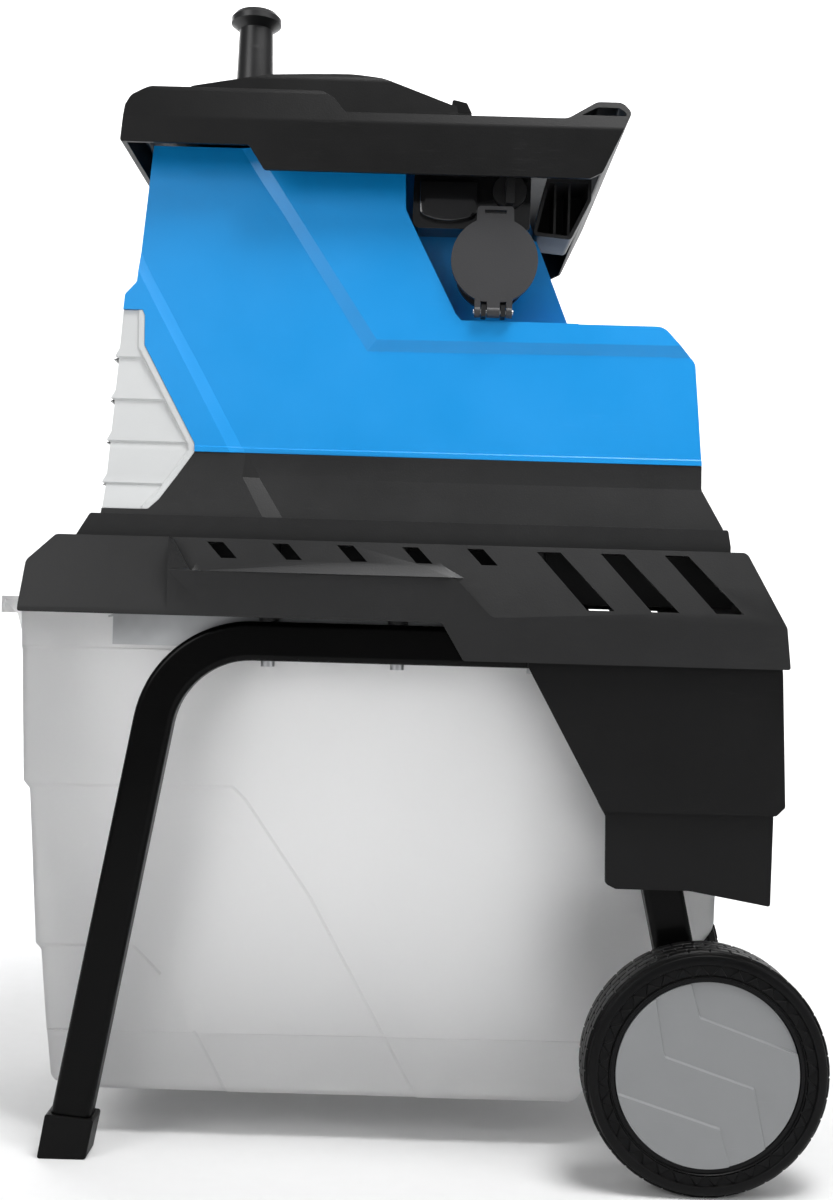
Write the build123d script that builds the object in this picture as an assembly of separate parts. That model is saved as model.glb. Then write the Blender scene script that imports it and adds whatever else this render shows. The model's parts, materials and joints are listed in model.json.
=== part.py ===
from build123d import *
import math
import os

"""Electric garden shredder: a geared cutting drum in a plastic housing, on a wheeled tubular stand, over a
slide-out collection bin. X points to the wheels, Y across, Z up; the origin is on the floor, in the middle.
All sizes are in millimetres."""

# ---- clearances -------------------------------------------------------------------------------------------
RUNNING = 0.05          # radial clearance of a shaft in its bore
JOIN_GAP = 0.3          # gap between neighbouring mouldings
MOVE_GAP = 0.8          # gap beside a piece that slides or swings

# ---- stand ------------------------------------------------------------------------------------------------
TUBE_TALL = 32.0        # flat oval tube, in the plane of the frame
TUBE_DEEP = 22.0
TUBE_WALL = 2.0
TUBE_CORNER = 5.0
FRAME_Y = 165.0         # middle of each side frame
BEND_RADIUS = 80.0
TOP_TUBE_Z = 418.0      # centre line of the level run
FRONT_LEAN = 10.0       # lean of the front leg from upright, degrees
REAR_LEAN = 12.4
FRONT_TOP_X = -188.0    # where the front leg's line meets the level run
FOOT_LIFT = 6.0         # end of the front leg above the floor
FOOT_WALL = 4.0
FOOT_HEIGHT = 38.0

# ---- wheels -----------------------------------------------------------------------------------------------
WHEEL_RADIUS = 95.0
WHEEL_WIDTH = 46.0
AXLE_X = 244.5
AXLE_RADIUS = 6.0
TYRE_BORE = 75.0
RIM_WALL = 3.0
HUB_RADIUS = 15.0
WEB_THICK = 5.0
HUB_CAP_RADIUS = 71.0
HUB_CAP_THICK = 3.0
SPACER_THICK = 3.4

# ---- tray and guard ---------------------------------------------------------------------------------------
WALL = 3.0
TRAY_TOP_Z = 500.0
TRAY_HALF = 195.0       # half width of the skirt
TRAY_TOP_HALF = 178.0   # half width where the sloping shoulder ends
SHOULDER_Z = 442.0
SKIRT_Z = 437.0         # lower edge of the front part of the skirt
DEEP_SKIRT_Z = 407.0    # lower edge of the rear part
GUARD_HALF = FRAME_Y + TUBE_DEEP / 2 + 10.0
GUARD_STEP = 5.0

# ---- bin --------------------------------------------------------------------------------------------------
BIN_FRONT = -316.0
BIN_REAR = 268.0
BIN_HALF = 146.0
BIN_FOOT_HALF = 136.0
BIN_WALL = 2.6
BIN_TOP_Z = 449.5
BIN_FLOOR_Z = 40.0
FLANGE_Z = 437.3        # underside of the rim flange, which runs on the rails
FLANGE_OUT = 6.0
LIP_X = -339.5          # front edge of the handle lip

# ---- housing ----------------------------------------------------------------------------------------------
BASE_TOP_Z = 518.5      # top of the plinth
BAND_TOP_Z = 571.8      # where the black base meets the coloured shells
NECK_TOP_Z = 829.0
POCKET_Y = -104.0       # back wall of the control pocket
BOX_TOP_Z = 687.0

# ---- hopper -----------------------------------------------------------------------------------------------
HOPPER_HALF = 172.0
DECK_Z = 850.0
RIM_Z = 870.0
THROAT_X = (-188.0, -92.0)
THROAT_Y = (-62.0, 58.0)
HOOD_HALF = 76.0

# ---- plunger ----------------------------------------------------------------------------------------------
PLUNGER_X = -154.0
PLUNGER_TOP_Z = 1000.0
KNOB_RADIUS = 23.2
STEM_RADIUS = 17.0
BLADE_HALF = 6.0        # half thickness of the plunger's blade
BLADE_X = (-182.0, -98.0)
COLLAR_X = (-196.0, -84.0)
BLADE_LOW_Z = 706.0
GRIP_LOW_Z = 896.0

# ---- drive ------------------------------------------------------------------------------------------------
DRUM_Y = -25.0
DRIVE_Z = 605.0
DRUM_RADIUS = 46.0
DRUM_X = (-188.0, -93.0)
DRUM_TEETH = 8
SHAFT_RADIUS = 11.0
PLATE_GAP = 5.0
PLATE_THICK = 12.0
SCREW_RADIUS = 7.0
CUTTER_X = (-212.0, -76.0)
CUTTER_WALL = 7.0
GEAR_X = (-72.0, 2.0)   # gear housing from its outer wall to its cover face
COVER_THICK = 6.0
MOTOR_RADIUS = 64.0
MOTOR_LENGTH = 150.0
ROTOR_RADIUS = 36.0
MOTOR_SHAFT = 8.0
PRESSURE_ANGLE = math.radians(20)

DRUM_GEAR = dict(teeth=42, module=2.25)
SECOND_PINION = dict(teeth=14, module=2.25)
SECOND_GEAR = dict(teeth=50, module=1.5)
FIRST_PINION = dict(teeth=12, module=1.5)
FIRST_GEAR = dict(teeth=60, module=1.25)
MOTOR_PINION = dict(teeth=12, module=1.25)

UPRIGHT = Plane(origin=(0, 0, 0), x_dir=(1, 0, 0), z_dir=(0, -1, 0))     # local x, y are X, Z
ENDWISE = Plane.YZ                                                       # local x, y are Y, Z
LEVEL = Plane.XY


# ---- helpers ----------------------------------------------------------------------------------------------
def outline(corners, plane):
    """Face from corners (a, b) or (a, b, radius) on a plane, with the corners rounded."""
    spots = []
    points = [plane.from_local_coords(Vector(c[0], c[1], 0)) for c in corners]
    for i, (corner, point) in enumerate(zip(corners, points)):
        radius = corner[2] if len(corner) > 2 else 0
        if radius == 0:
            spots.append((point, None, point))
            continue
        back = (points[i - 1] - point).normalized()
        ahead = (points[(i + 1) % len(points)] - point).normalized()
        half = math.acos(max(-1.0, min(1.0, back.dot(ahead)))) / 2
        reach = radius / math.tan(half)
        middle = point + (back + ahead).normalized() * (radius / math.sin(half) - radius)
        spots.append((point + back * reach, middle, point + ahead * reach))
    edges = []
    for i, (start, middle, end) in enumerate(spots):
        if middle is not None:
            edges.append(Edge.make_three_point_arc(start, middle, end))
        following = spots[(i + 1) % len(spots)][0]
        if (following - end).length > 1e-6:
            edges.append(Edge.make_line(end, following))
    return Face(Wire(edges))


def across(corners, y_low, y_high):
    """Prism of an (X, Z) outline between two Y planes."""
    face = outline(corners, UPRIGHT).moved(Location((0, y_low, 0)))
    return extrude(face, amount=y_high - y_low, dir=(0, 1, 0))


def along(corners, x_low, x_high):
    """Prism of a (Y, Z) outline between two X planes."""
    face = outline(corners, ENDWISE).moved(Location((x_low, 0, 0)))
    return extrude(face, amount=x_high - x_low, dir=(1, 0, 0))


def upward(corners, z_low, z_high):
    """Prism of an (X, Y) outline between two Z planes."""
    face = outline(corners, LEVEL).moved(Location((0, 0, z_low)))
    return extrude(face, amount=z_high - z_low, dir=(0, 0, 1))


def block(x_low, x_high, y_low, y_high, z_low, z_high):
    box = Box(x_high - x_low, y_high - y_low, z_high - z_low)
    return box.moved(Location(((x_low + x_high) / 2, (y_low + y_high) / 2, (z_low + z_high) / 2)))


def rod_x(x_low, x_high, y, z, radius):
    return Solid.make_cylinder(radius, x_high - x_low, Plane((x_low, y, z), z_dir=(1, 0, 0)))


def rod_y(y_low, y_high, x, z, radius):
    return Solid.make_cylinder(radius, y_high - y_low, Plane((x, y_low, z), z_dir=(0, 1, 0)))


def rod_z(z_low, z_high, x, y, radius):
    return Solid.make_cylinder(radius, z_high - z_low, Plane((x, y, z_low), z_dir=(0, 0, 1)))


def mirrored(shape):
    return mirror(shape, about=Plane.XZ)


def turned(profile, y_start, x, z, side):
    """Solid turned about a Y axis from (radius, distance outward) corners; side is -1 left, 1 right."""
    face = outline([(radius, y_start + depth) for radius, depth in profile], LEVEL)
    solid = revolve(face, axis=Axis.Y, revolution_arc=360)
    solid = solid.moved(Location((x, 0, z)))
    return solid if side > 0 else mirrored(solid)


def inset(corners, plane, amount):
    """The same outline moved inwards."""
    return offset(outline(corners, plane), amount=-amount, kind=Kind.INTERSECTION)


def envelope(side, front, amount=0.0, reach=400.0):
    """Body whose side view and front view are given outlines, moved inwards by an amount."""
    side_face = inset(side, UPRIGHT, amount) if amount else outline(side, UPRIGHT)
    front_face = inset(front, ENDWISE, amount) if amount else outline(front, ENDWISE)
    long_prism = extrude(side_face, amount=reach, dir=(0, 1, 0), both=True)
    wide_prism = extrude(front_face, amount=reach, dir=(1, 0, 0), both=True)
    return long_prism & wide_prism


def symmetric(half):
    """Front-view outline from its right half, listed upwards."""
    return half + [(-corner[0],) + tuple(corner[1:]) for corner in reversed(half)]


PARTS = {}


def keep(name, *solids):
    """File a sub-part, as one shape that may hold several separate solids."""
    flat = []
    for solid in solids:
        flat.extend(solid.solids())
    PARTS[name] = flat[0] if len(flat) == 1 else Compound(flat)


# ---- stand ------------------------------------------------------------------------------------------------
def leg_x(top_x, lean, z):
    """X of a leg's centre line at a height; the leg spreads by its lean below the level run."""
    return top_x + (TOP_TUBE_Z - z) * math.tan(math.radians(lean))


REAR_TOP_X = AXLE_X - (TOP_TUBE_Z - WHEEL_RADIUS) * math.tan(math.radians(REAR_LEAN))
REAR_END_Z = WHEEL_RADIUS - TUBE_TALL / 2 - 2
BOLT_X = (-109.0, -4.0, 107.0)
BOLT_RADIUS = 3.0
TUBE_LOW_Z = TOP_TUBE_Z - TUBE_TALL / 2
TUBE_HIGH_Z = TOP_TUBE_Z + TUBE_TALL / 2
BOSS_TOP_Z = TRAY_TOP_Z - WALL
TUBE_INNER_Y = FRAME_Y - TUBE_DEEP / 2
TUBE_OUTER_Y = FRAME_Y + TUBE_DEEP / 2
FRONT_END_X = -leg_x(-FRONT_TOP_X, FRONT_LEAN, FOOT_LIFT)


def make_frame():
    rear_end_x = leg_x(REAR_TOP_X, REAR_LEAN, REAR_END_Z)
    path = FilletPolyline(
        (FRONT_END_X, FRAME_Y, FOOT_LIFT), (FRONT_TOP_X, FRAME_Y, TOP_TUBE_Z),
        (REAR_TOP_X, FRAME_Y, TOP_TUBE_Z), (rear_end_x, FRAME_Y, REAR_END_Z), radius=BEND_RADIUS)
    start = Plane(origin=(FRONT_END_X, FRAME_Y, FOOT_LIFT), x_dir=(0, 1, 0), z_dir=path % 0)
    wire = Wire(path.edges())
    outer = sweep(start * RectangleRounded(TUBE_DEEP, TUBE_TALL, TUBE_CORNER), path=wire)
    inner = sweep(start * RectangleRounded(TUBE_DEEP - 2 * TUBE_WALL, TUBE_TALL - 2 * TUBE_WALL,
                                           TUBE_CORNER - TUBE_WALL), path=wire)
    tube = outer - inner
    tube -= rod_y(FRAME_Y - TUBE_DEEP, FRAME_Y + TUBE_DEEP, AXLE_X, WHEEL_RADIUS, AXLE_RADIUS + RUNNING)
    for x in BOLT_X:
        tube -= rod_z(TUBE_LOW_Z - 5, TUBE_HIGH_Z + 5, x, FRAME_Y, BOLT_RADIUS + JOIN_GAP)
    keep("frame_right", tube)
    keep("frame_left", mirrored(tube))

    bolts = []
    for x in BOLT_X:
        shank = rod_z(TUBE_LOW_Z, BOSS_TOP_Z - 25, x, FRAME_Y, BOLT_RADIUS)
        head = rod_z(TUBE_LOW_Z - 4.5, TUBE_LOW_Z - RUNNING, x, FRAME_Y, BOLT_RADIUS * 1.9)
        bolt = shank + head + rod_z(TUBE_LOW_Z - 1, TUBE_LOW_Z + 1, x, FRAME_Y, BOLT_RADIUS)
        bolts += [bolt, mirrored(bolt)]
    keep("frame_bolts", *bolts)


def make_feet():
    lean = math.radians(FRONT_LEAN)
    half = TUBE_TALL / 2 + FOOT_WALL
    top = FOOT_HEIGHT
    centre_top = -leg_x(-FRONT_TOP_X, FRONT_LEAN, top)
    rise = half * math.sin(lean)
    corners = [(FRONT_END_X - half, 0, 2), (FRONT_END_X + half - 1, 0, 3),
               (centre_top + half - 1, top - rise - 3, 2), (centre_top - half, top + rise - 6, 2)]
    y_low, y_high = TUBE_INNER_Y - FOOT_WALL + 1, TUBE_OUTER_Y + FOOT_WALL - 1
    boot = across(corners, y_low, y_high)
    start = Plane(origin=(FRONT_END_X, FRAME_Y, FOOT_LIFT), x_dir=(0, 1, 0),
                  z_dir=(math.sin(lean), 0, math.cos(lean)))
    socket = extrude(start * RectangleRounded(TUBE_DEEP, TUBE_TALL, TUBE_CORNER), amount=80)
    boot -= socket
    keep("foot_caps", boot, mirrored(boot))


def make_wheels():
    outer_y = TUBE_OUTER_Y + SPACER_THICK + 0.6
    half = WHEEL_WIDTH
    tyre = [(TYRE_BORE, 0), (WHEEL_RADIUS - 4, 0), (WHEEL_RADIUS - 0.6, 4), (WHEEL_RADIUS, half / 2),
            (WHEEL_RADIUS - 0.6, half - 4), (WHEEL_RADIUS - 4, half), (TYRE_BORE, half)]
    web = half / 2
    bore = AXLE_RADIUS + RUNNING
    barrel = TYRE_BORE - JOIN_GAP / 3
    rim = [(bore, 0), (HUB_RADIUS, 0), (HUB_RADIUS, web), (barrel - RIM_WALL, web), (barrel - RIM_WALL, 2),
           (barrel, 2), (barrel, half - 2), (barrel - RIM_WALL, half - 2),
           (barrel - RIM_WALL, web + WEB_THICK),
           (HUB_RADIUS, web + WEB_THICK), (HUB_RADIUS, half - 12), (bore, half - 12)]
    cap_low = half - 4
    cap = [(0, cap_low), (HUB_CAP_RADIUS, cap_low), (HUB_CAP_RADIUS, cap_low + HUB_CAP_THICK - 1),
           (HUB_CAP_RADIUS - 3, cap_low + HUB_CAP_THICK), (0, cap_low + HUB_CAP_THICK + 1)]
    for side, name in ((-1, "left"), (1, "right")):
        keep("tyre_" + name, turned(tyre, outer_y, AXLE_X, WHEEL_RADIUS, side))
        keep("rim_" + name, turned(rim, outer_y, AXLE_X, WHEEL_RADIUS, side))
        keep("hub_cap_" + name, turned(cap, outer_y, AXLE_X, WHEEL_RADIUS, side))
    axle_end = outer_y + half - 7
    keep("axle", rod_y(-axle_end, axle_end, AXLE_X, WHEEL_RADIUS, AXLE_RADIUS))
    clip = [(AXLE_RADIUS, half - 11.5), (AXLE_RADIUS + 5, half - 11.5), (AXLE_RADIUS + 5, half - 10),
            (AXLE_RADIUS, half - 8.5)]
    spacer = [(AXLE_RADIUS, 0.3), (AXLE_RADIUS + 6, 0.3), (AXLE_RADIUS + 6, SPACER_THICK),
              (AXLE_RADIUS, SPACER_THICK)]
    keep("axle_clips", *[turned(clip, outer_y, AXLE_X, WHEEL_RADIUS, side) for side in (-1, 1)])
    keep("wheel_spacers", *[turned(spacer, TUBE_OUTER_Y, AXLE_X, WHEEL_RADIUS, side) for side in (-1, 1)])


RAIL_TOP_Z = FLANGE_Z - JOIN_GAP
RAIL_THICK = 1.6
RAIL_SPAN = (-238.0, 235.0)


def make_rails():
    """Folded steel strip on the inner face of each tube; the bin's rim flange slides on its lip."""
    back = TUBE_INNER_Y - 0.1
    lip = BIN_HALF + 1.2
    profile = [(lip, RAIL_TOP_Z - RAIL_THICK), (back - RAIL_THICK, RAIL_TOP_Z - RAIL_THICK),
               (back - RAIL_THICK, TUBE_LOW_Z + 10), (back, TUBE_LOW_Z + 10), (back, RAIL_TOP_Z),
               (lip, RAIL_TOP_Z)]
    strip = along(profile, *RAIL_SPAN)
    curl = across([(RAIL_SPAN[0] - 4, RAIL_TOP_Z - 3), (RAIL_SPAN[0] + 0.5, RAIL_TOP_Z - RAIL_THICK),
                   (RAIL_SPAN[0] + 0.5, RAIL_TOP_Z), (RAIL_SPAN[0] - 4, RAIL_TOP_Z - 1.4)], lip, back)
    rail = strip + curl
    keep("rail_right", rail)
    keep("rail_left", mirrored(rail))


# ---- tray -------------------------------------------------------------------------------------------------
TRAY_SIDE = [(-306, SKIRT_Z, 2), (-303, 478, 8), (-281, TRAY_TOP_Z, 5), (275.5, TRAY_TOP_Z, 6),
             (305, 440, 5),
             (308.5, DEEP_SKIRT_Z, 2), (49, DEEP_SKIRT_Z, 3), (31, SKIRT_Z, 3)]
TRAY_FRONT = symmetric([(TRAY_HALF, 390), (TRAY_HALF, SHOULDER_Z), (TRAY_TOP_HALF, TRAY_TOP_Z)])
RISER = [(-187.5, TRAY_TOP_Z), (-171, 473, 4), (40.6, 473, 12), (70.6, SHOULDER_Z, 12), (80, SHOULDER_Z),
         (80, DEEP_SKIRT_Z + 5), (-187.5, SKIRT_Z + 5)]
SMALL_VENT_X = (-159.3, 52.3, 5)       # first corner, pitch, number
LARGE_SLOT_X = (106.1, 51.4, 3)
DUCT_X = (-203.0, -83.0)
DUCT_HALF = 82.0
SLOT_HALF = BIN_HALF + FLANGE_OUT + 4  # opening in the front wall for the bin


def slanted(x, top, bottom, wide_top, wide_bottom, lean):
    return [(x, top), (x + wide_top, top), (x + lean + wide_bottom, bottom), (x + lean, bottom)]


def make_tray():
    body = envelope(TRAY_SIDE, TRAY_FRONT)
    hollow = envelope(
        [(-306 + WALL, 300), (-303 + WALL, 478, 8), (-281 + WALL / 2, TRAY_TOP_Z - WALL, 5),
         (275.5 - WALL / 2, TRAY_TOP_Z - WALL, 6), (305 - WALL, 440, 5), (308.5 - WALL, DEEP_SKIRT_Z),
         (308.5 - WALL, 300)],
        symmetric([(TRAY_HALF - WALL, 290), (TRAY_HALF - WALL, SHOULDER_Z - 1),
                   (TRAY_TOP_HALF - WALL, BOSS_TOP_Z)]))
    riser = across(RISER, TRAY_TOP_HALF - WALL - 2, TRAY_HALF) & across(TRAY_SIDE, 0, 300)
    riser_hollow = across(RISER, 0, TRAY_HALF - WALL) & block(-400, 68, 0, 300, 300, 473 - WALL)
    vents = []
    first, pitch, number = SMALL_VENT_X
    for i in range(number):
        vents.append(across(slanted(first + i * pitch, 497, 484, 13, 13, 12), 150, 210))
    first, pitch, number = LARGE_SLOT_X
    for i in range(number):
        vents.append(across(slanted(first + i * pitch, 496, 450, 19, 22, 40), 150, 210))
    tray = body + riser + mirrored(riser) - hollow - riser_hollow - mirrored(riser_hollow)
    for vent in vents:
        tray = tray - vent - mirrored(vent)
    tray -= block(DUCT_X[0] - 1, DUCT_X[1] + 1, -DUCT_HALF - 1, DUCT_HALF + 1, 480, 510)
    tray -= block(-330, -280, -SLOT_HALF, SLOT_HALF, 300, BIN_TOP_Z + 5)
    for x in BOLT_X:
        boss = rod_z(TUBE_HIGH_Z + 0.2, BOSS_TOP_Z + 1, x, FRAME_Y, 8) - rod_z(400, BOSS_TOP_Z - 25, x,
                                                                               FRAME_Y,
                                                                               BOLT_RADIUS)
        tray = tray + boss + mirrored(boss)
    tray -= block(*LOCK_X, -LOCK_HALF - MOVE_GAP, LOCK_HALF + MOVE_GAP, *LOCK_SLOT_Z)
    tray += block(*SWITCH_BOSS_X, -10, 10, SWITCH_BOSS_Z + RUNNING, 495) & envelope(TRAY_SIDE, TRAY_FRONT)
    keep("base_tray", tray)


# ---- bin lock ---------------------------------------------------------------------------------------------
LOCK_HALF = 16.0
LOCK_X = (-308.0, -300.0)
LOCK_SLOT_Z = (456.0, 477.0)
LOCK_TRAVEL = 7.0
LOCK_PLATE_X = (-308.2, -314.5)
TONGUE_X = (-325.5, -320.5)
TONGUE_HALF = 12.0
SWITCH_BOSS_X = (-293.0, -281.0)
SWITCH_BOSS_Z = 474.5


def make_bin_lock():
    """Sliding bolt on the tray's front wall; pushed down, its tongue enters a slot in the bin's lip."""
    back, face = LOCK_PLATE_X
    low = LOCK_SLOT_Z[0] + LOCK_TRAVEL + MOVE_GAP
    plate = block(face, back, -24, 24, BIN_TOP_Z + LOCK_TRAVEL, LOCK_SLOT_Z[1] - 1)
    arm = block(TONGUE_X[0], back, -TONGUE_HALF, TONGUE_HALF, BIN_TOP_Z + LOCK_TRAVEL,
                BIN_TOP_Z + LOCK_TRAVEL + 4)
    tongue = block(*TONGUE_X, -TONGUE_HALF, TONGUE_HALF, BIN_TOP_Z + 2.7, BIN_TOP_Z + LOCK_TRAVEL + 4)
    grip = block(face - 4.5, face, -20, 20, 466, 472)
    stem = block(back, LOCK_X[1], -LOCK_HALF, LOCK_HALF, low, LOCK_SLOT_Z[1] - MOVE_GAP)
    keep("bin_lock", plate + arm + tongue + grip + stem)
    keep("safety_switch", block(LOCK_X[1] + 2, SWITCH_BOSS_X[1], -12, 12, 459, SWITCH_BOSS_Z))


# ---- rear guard -------------------------------------------------------------------------------------------
def make_guard():
    lower = [(101, 403.8), (166.5, 286, 3), (167.6, 232, 4), (176, 228, 2), (235, 228, 30), (300, 217, 2),
             (301, 292), (301, 434), (101, 434)]
    upper = [(101, 403.8), (164, 290), (302, 290, 3), (309, 297, 3), (304.8, 403), (301.5, 434), (101, 434)]
    low_half = GUARD_HALF - GUARD_STEP
    low = across(lower, -low_half, low_half)
    high = across(upper, -GUARD_HALF, GUARD_HALF)
    hollow_low = across([(40, 190), (301 - WALL, 190), (301 - WALL, 300), (40, 300)], WALL - low_half,
                        low_half - WALL)
    hollow_high = across([(40, 297), (304.5 - WALL, 297, 3), (301 - WALL, 440), (40, 440)],
                         WALL - GUARD_HALF,
                         GUARD_HALF - WALL)
    guard = low + high - hollow_low - hollow_high
    keep("rear_guard", guard)
    screws = []
    for x in (150.0, 260.0):
        screw = rod_y(GUARD_HALF - WALL - 3, GUARD_HALF + 0.5, x, 424, 2.2) + rod_y(
            GUARD_HALF + 0.5, GUARD_HALF + 2.5, x, 424, 4.5)
        screws += [screw, mirrored(screw)]
        PARTS["rear_guard"] = PARTS["rear_guard"] - rod_y(150, 200, x, 424, 2.2) - rod_y(-200, -150, x, 424,
                                                                                         2.2)
    keep("guard_screws", *screws)


# ---- bin --------------------------------------------------------------------------------------------------
BIN_SIDE = [(BIN_FRONT, BIN_TOP_Z), (-311, 297, 3), (-306, 290, 3), (-298, 162, 3), (-293.5, 156, 3),
            (-284, 48, 10),
            (-272, BIN_FLOOR_Z, 10), (153, BIN_FLOOR_Z, 10), (264, 190, 20), (BIN_REAR, BIN_TOP_Z)]
BIN_SECTION = symmetric([(BIN_FOOT_HALF - 8, BIN_FLOOR_Z - 20), (BIN_FOOT_HALF, 90, 60),
                         (BIN_HALF, BIN_TOP_Z)])


def make_bin():
    shell = envelope(BIN_SIDE, BIN_SECTION)
    inner_side = [(BIN_FRONT + BIN_WALL, BIN_TOP_Z + 20)] + [
        (x + (BIN_WALL if x < 0 else -BIN_WALL), z + (BIN_WALL if z < 60 else 0), r)
        for x, z, r in (corner for corner in BIN_SIDE[1:-1])] + [(BIN_REAR - BIN_WALL, BIN_TOP_Z + 20)]
    hollow = envelope(inner_side, symmetric([(BIN_FOOT_HALF - 8 - BIN_WALL, BIN_FLOOR_Z - 20),
                                             (BIN_FOOT_HALF - BIN_WALL, 90, 60),
                                             (BIN_HALF - BIN_WALL, BIN_TOP_Z + 20)]))
    outer_half = BIN_HALF + FLANGE_OUT
    flange = upward([(BIN_FRONT, -outer_half, 8), (BIN_REAR + 5, -outer_half, 8),
                     (BIN_REAR + 5, outer_half, 8),
                     (BIN_FRONT, outer_half, 8)], FLANGE_Z, FLANGE_Z + 3)
    lip = upward([(LIP_X, -122, 18), (-310, -146, 10), (-310, 146, 10), (LIP_X, 122, 18)], BIN_TOP_Z - 3,
                 BIN_TOP_Z)
    lip += upward([(LIP_X, -121), (LIP_X + 3.5, -124), (LIP_X + 3.5, 124), (LIP_X, 121)], BIN_TOP_Z - 14,
                  BIN_TOP_Z)
    gussets = [across([(LIP_X + 1, BIN_TOP_Z - 3), (-310, BIN_TOP_Z - 3), (-309, 416), (-322, 420, 5),
                       (-326, BIN_TOP_Z - 15, 3)], y - 1.5, y + 1.5) for y in (-118, -60, 60, 118)]
    bin_body = shell + flange + lip
    for gusset in gussets:
        bin_body += gusset
    bin_body -= hollow
    bin_body -= block(TONGUE_X[0] - MOVE_GAP, TONGUE_X[1] + MOVE_GAP, -TONGUE_HALF - MOVE_GAP,
                      TONGUE_HALF + MOVE_GAP, BIN_TOP_Z - 5, BIN_TOP_Z + 5)
    keep("collection_bin", bin_body)


# ---- housing ----------------------------------------------------------------------------------------------
HOUSING_SIDE = [(-249, BASE_TOP_Z), (-239, 689), (-238, 702, 4), (-228.6, 712.6, 6), (-219.5, NECK_TOP_Z),
                (80, NECK_TOP_Z), (137, BOX_TOP_Z, 3), (209, BOX_TOP_Z, 14), (236, 657.6, 10), (242.5, 572),
                (242.5, 552, 6), (259.4, 520), (259.4, BASE_TOP_Z)]
HOUSING_FRONT = symmetric([(162, BASE_TOP_Z), (154.5, 552), (153, 572), (147, BOX_TOP_Z), (140, NECK_TOP_Z)])
GRILLE_EDGE = [(-300, 523.3), (-211, 523.3, 3), (-202.5, 531.7, 4), (-175.5, 571.7, 3), (-176, 579, 3),
               (-220.3, 659.6, 3), (-221, 684.7, 2), (-223, 689), (-300, 689)]
POCKET = [(-9.5, NECK_TOP_Z + 10), (-7.3, 779.7, 8), (4.2, 756, 10), (36.3, 693, 4), (41, BOX_TOP_Z + 0.5),
          (160, BOX_TOP_Z + 0.5), (160, NECK_TOP_Z + 10)]
GRILLE_SLOTS = 4
GRILLE_LIP_Z = 650.0    # lower lip of the highest slat
GRILLE_PITCH = 35.0
GRILLE_OPEN = 14.0
GRILLE_LIP = 5.0
GRILLE_X = -249.0

POSTS = [(-214, -205, -60, DRIVE_Z - 62.1), (-214, -205, 60, DRIVE_Z - 62.1),
         (-81.5, -74, -60, DRIVE_Z - 64.1),
         (-81.5, -74, 60, DRIVE_Z - 64.1), (-50, -10, -60, DRIVE_Z - 64.1), (-50, -10, 80, DRIVE_Z - 64.1),
         (30, 130, 18, DRIVE_Z - 61), (90, 135, -100, 575.8)]      # x from and to, middle y, top


def prism_of(face_corners, amount, y_low, y_high):
    """Outline grown by an amount and made a prism between two Y planes."""
    face = outline(face_corners, UPRIGHT)
    if amount:
        face = offset(face, amount=amount, kind=Kind.INTERSECTION)
    face = face.moved(Location((0, y_low, 0)))
    return extrude(face, amount=y_high - y_low, dir=(0, 1, 0))


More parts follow.
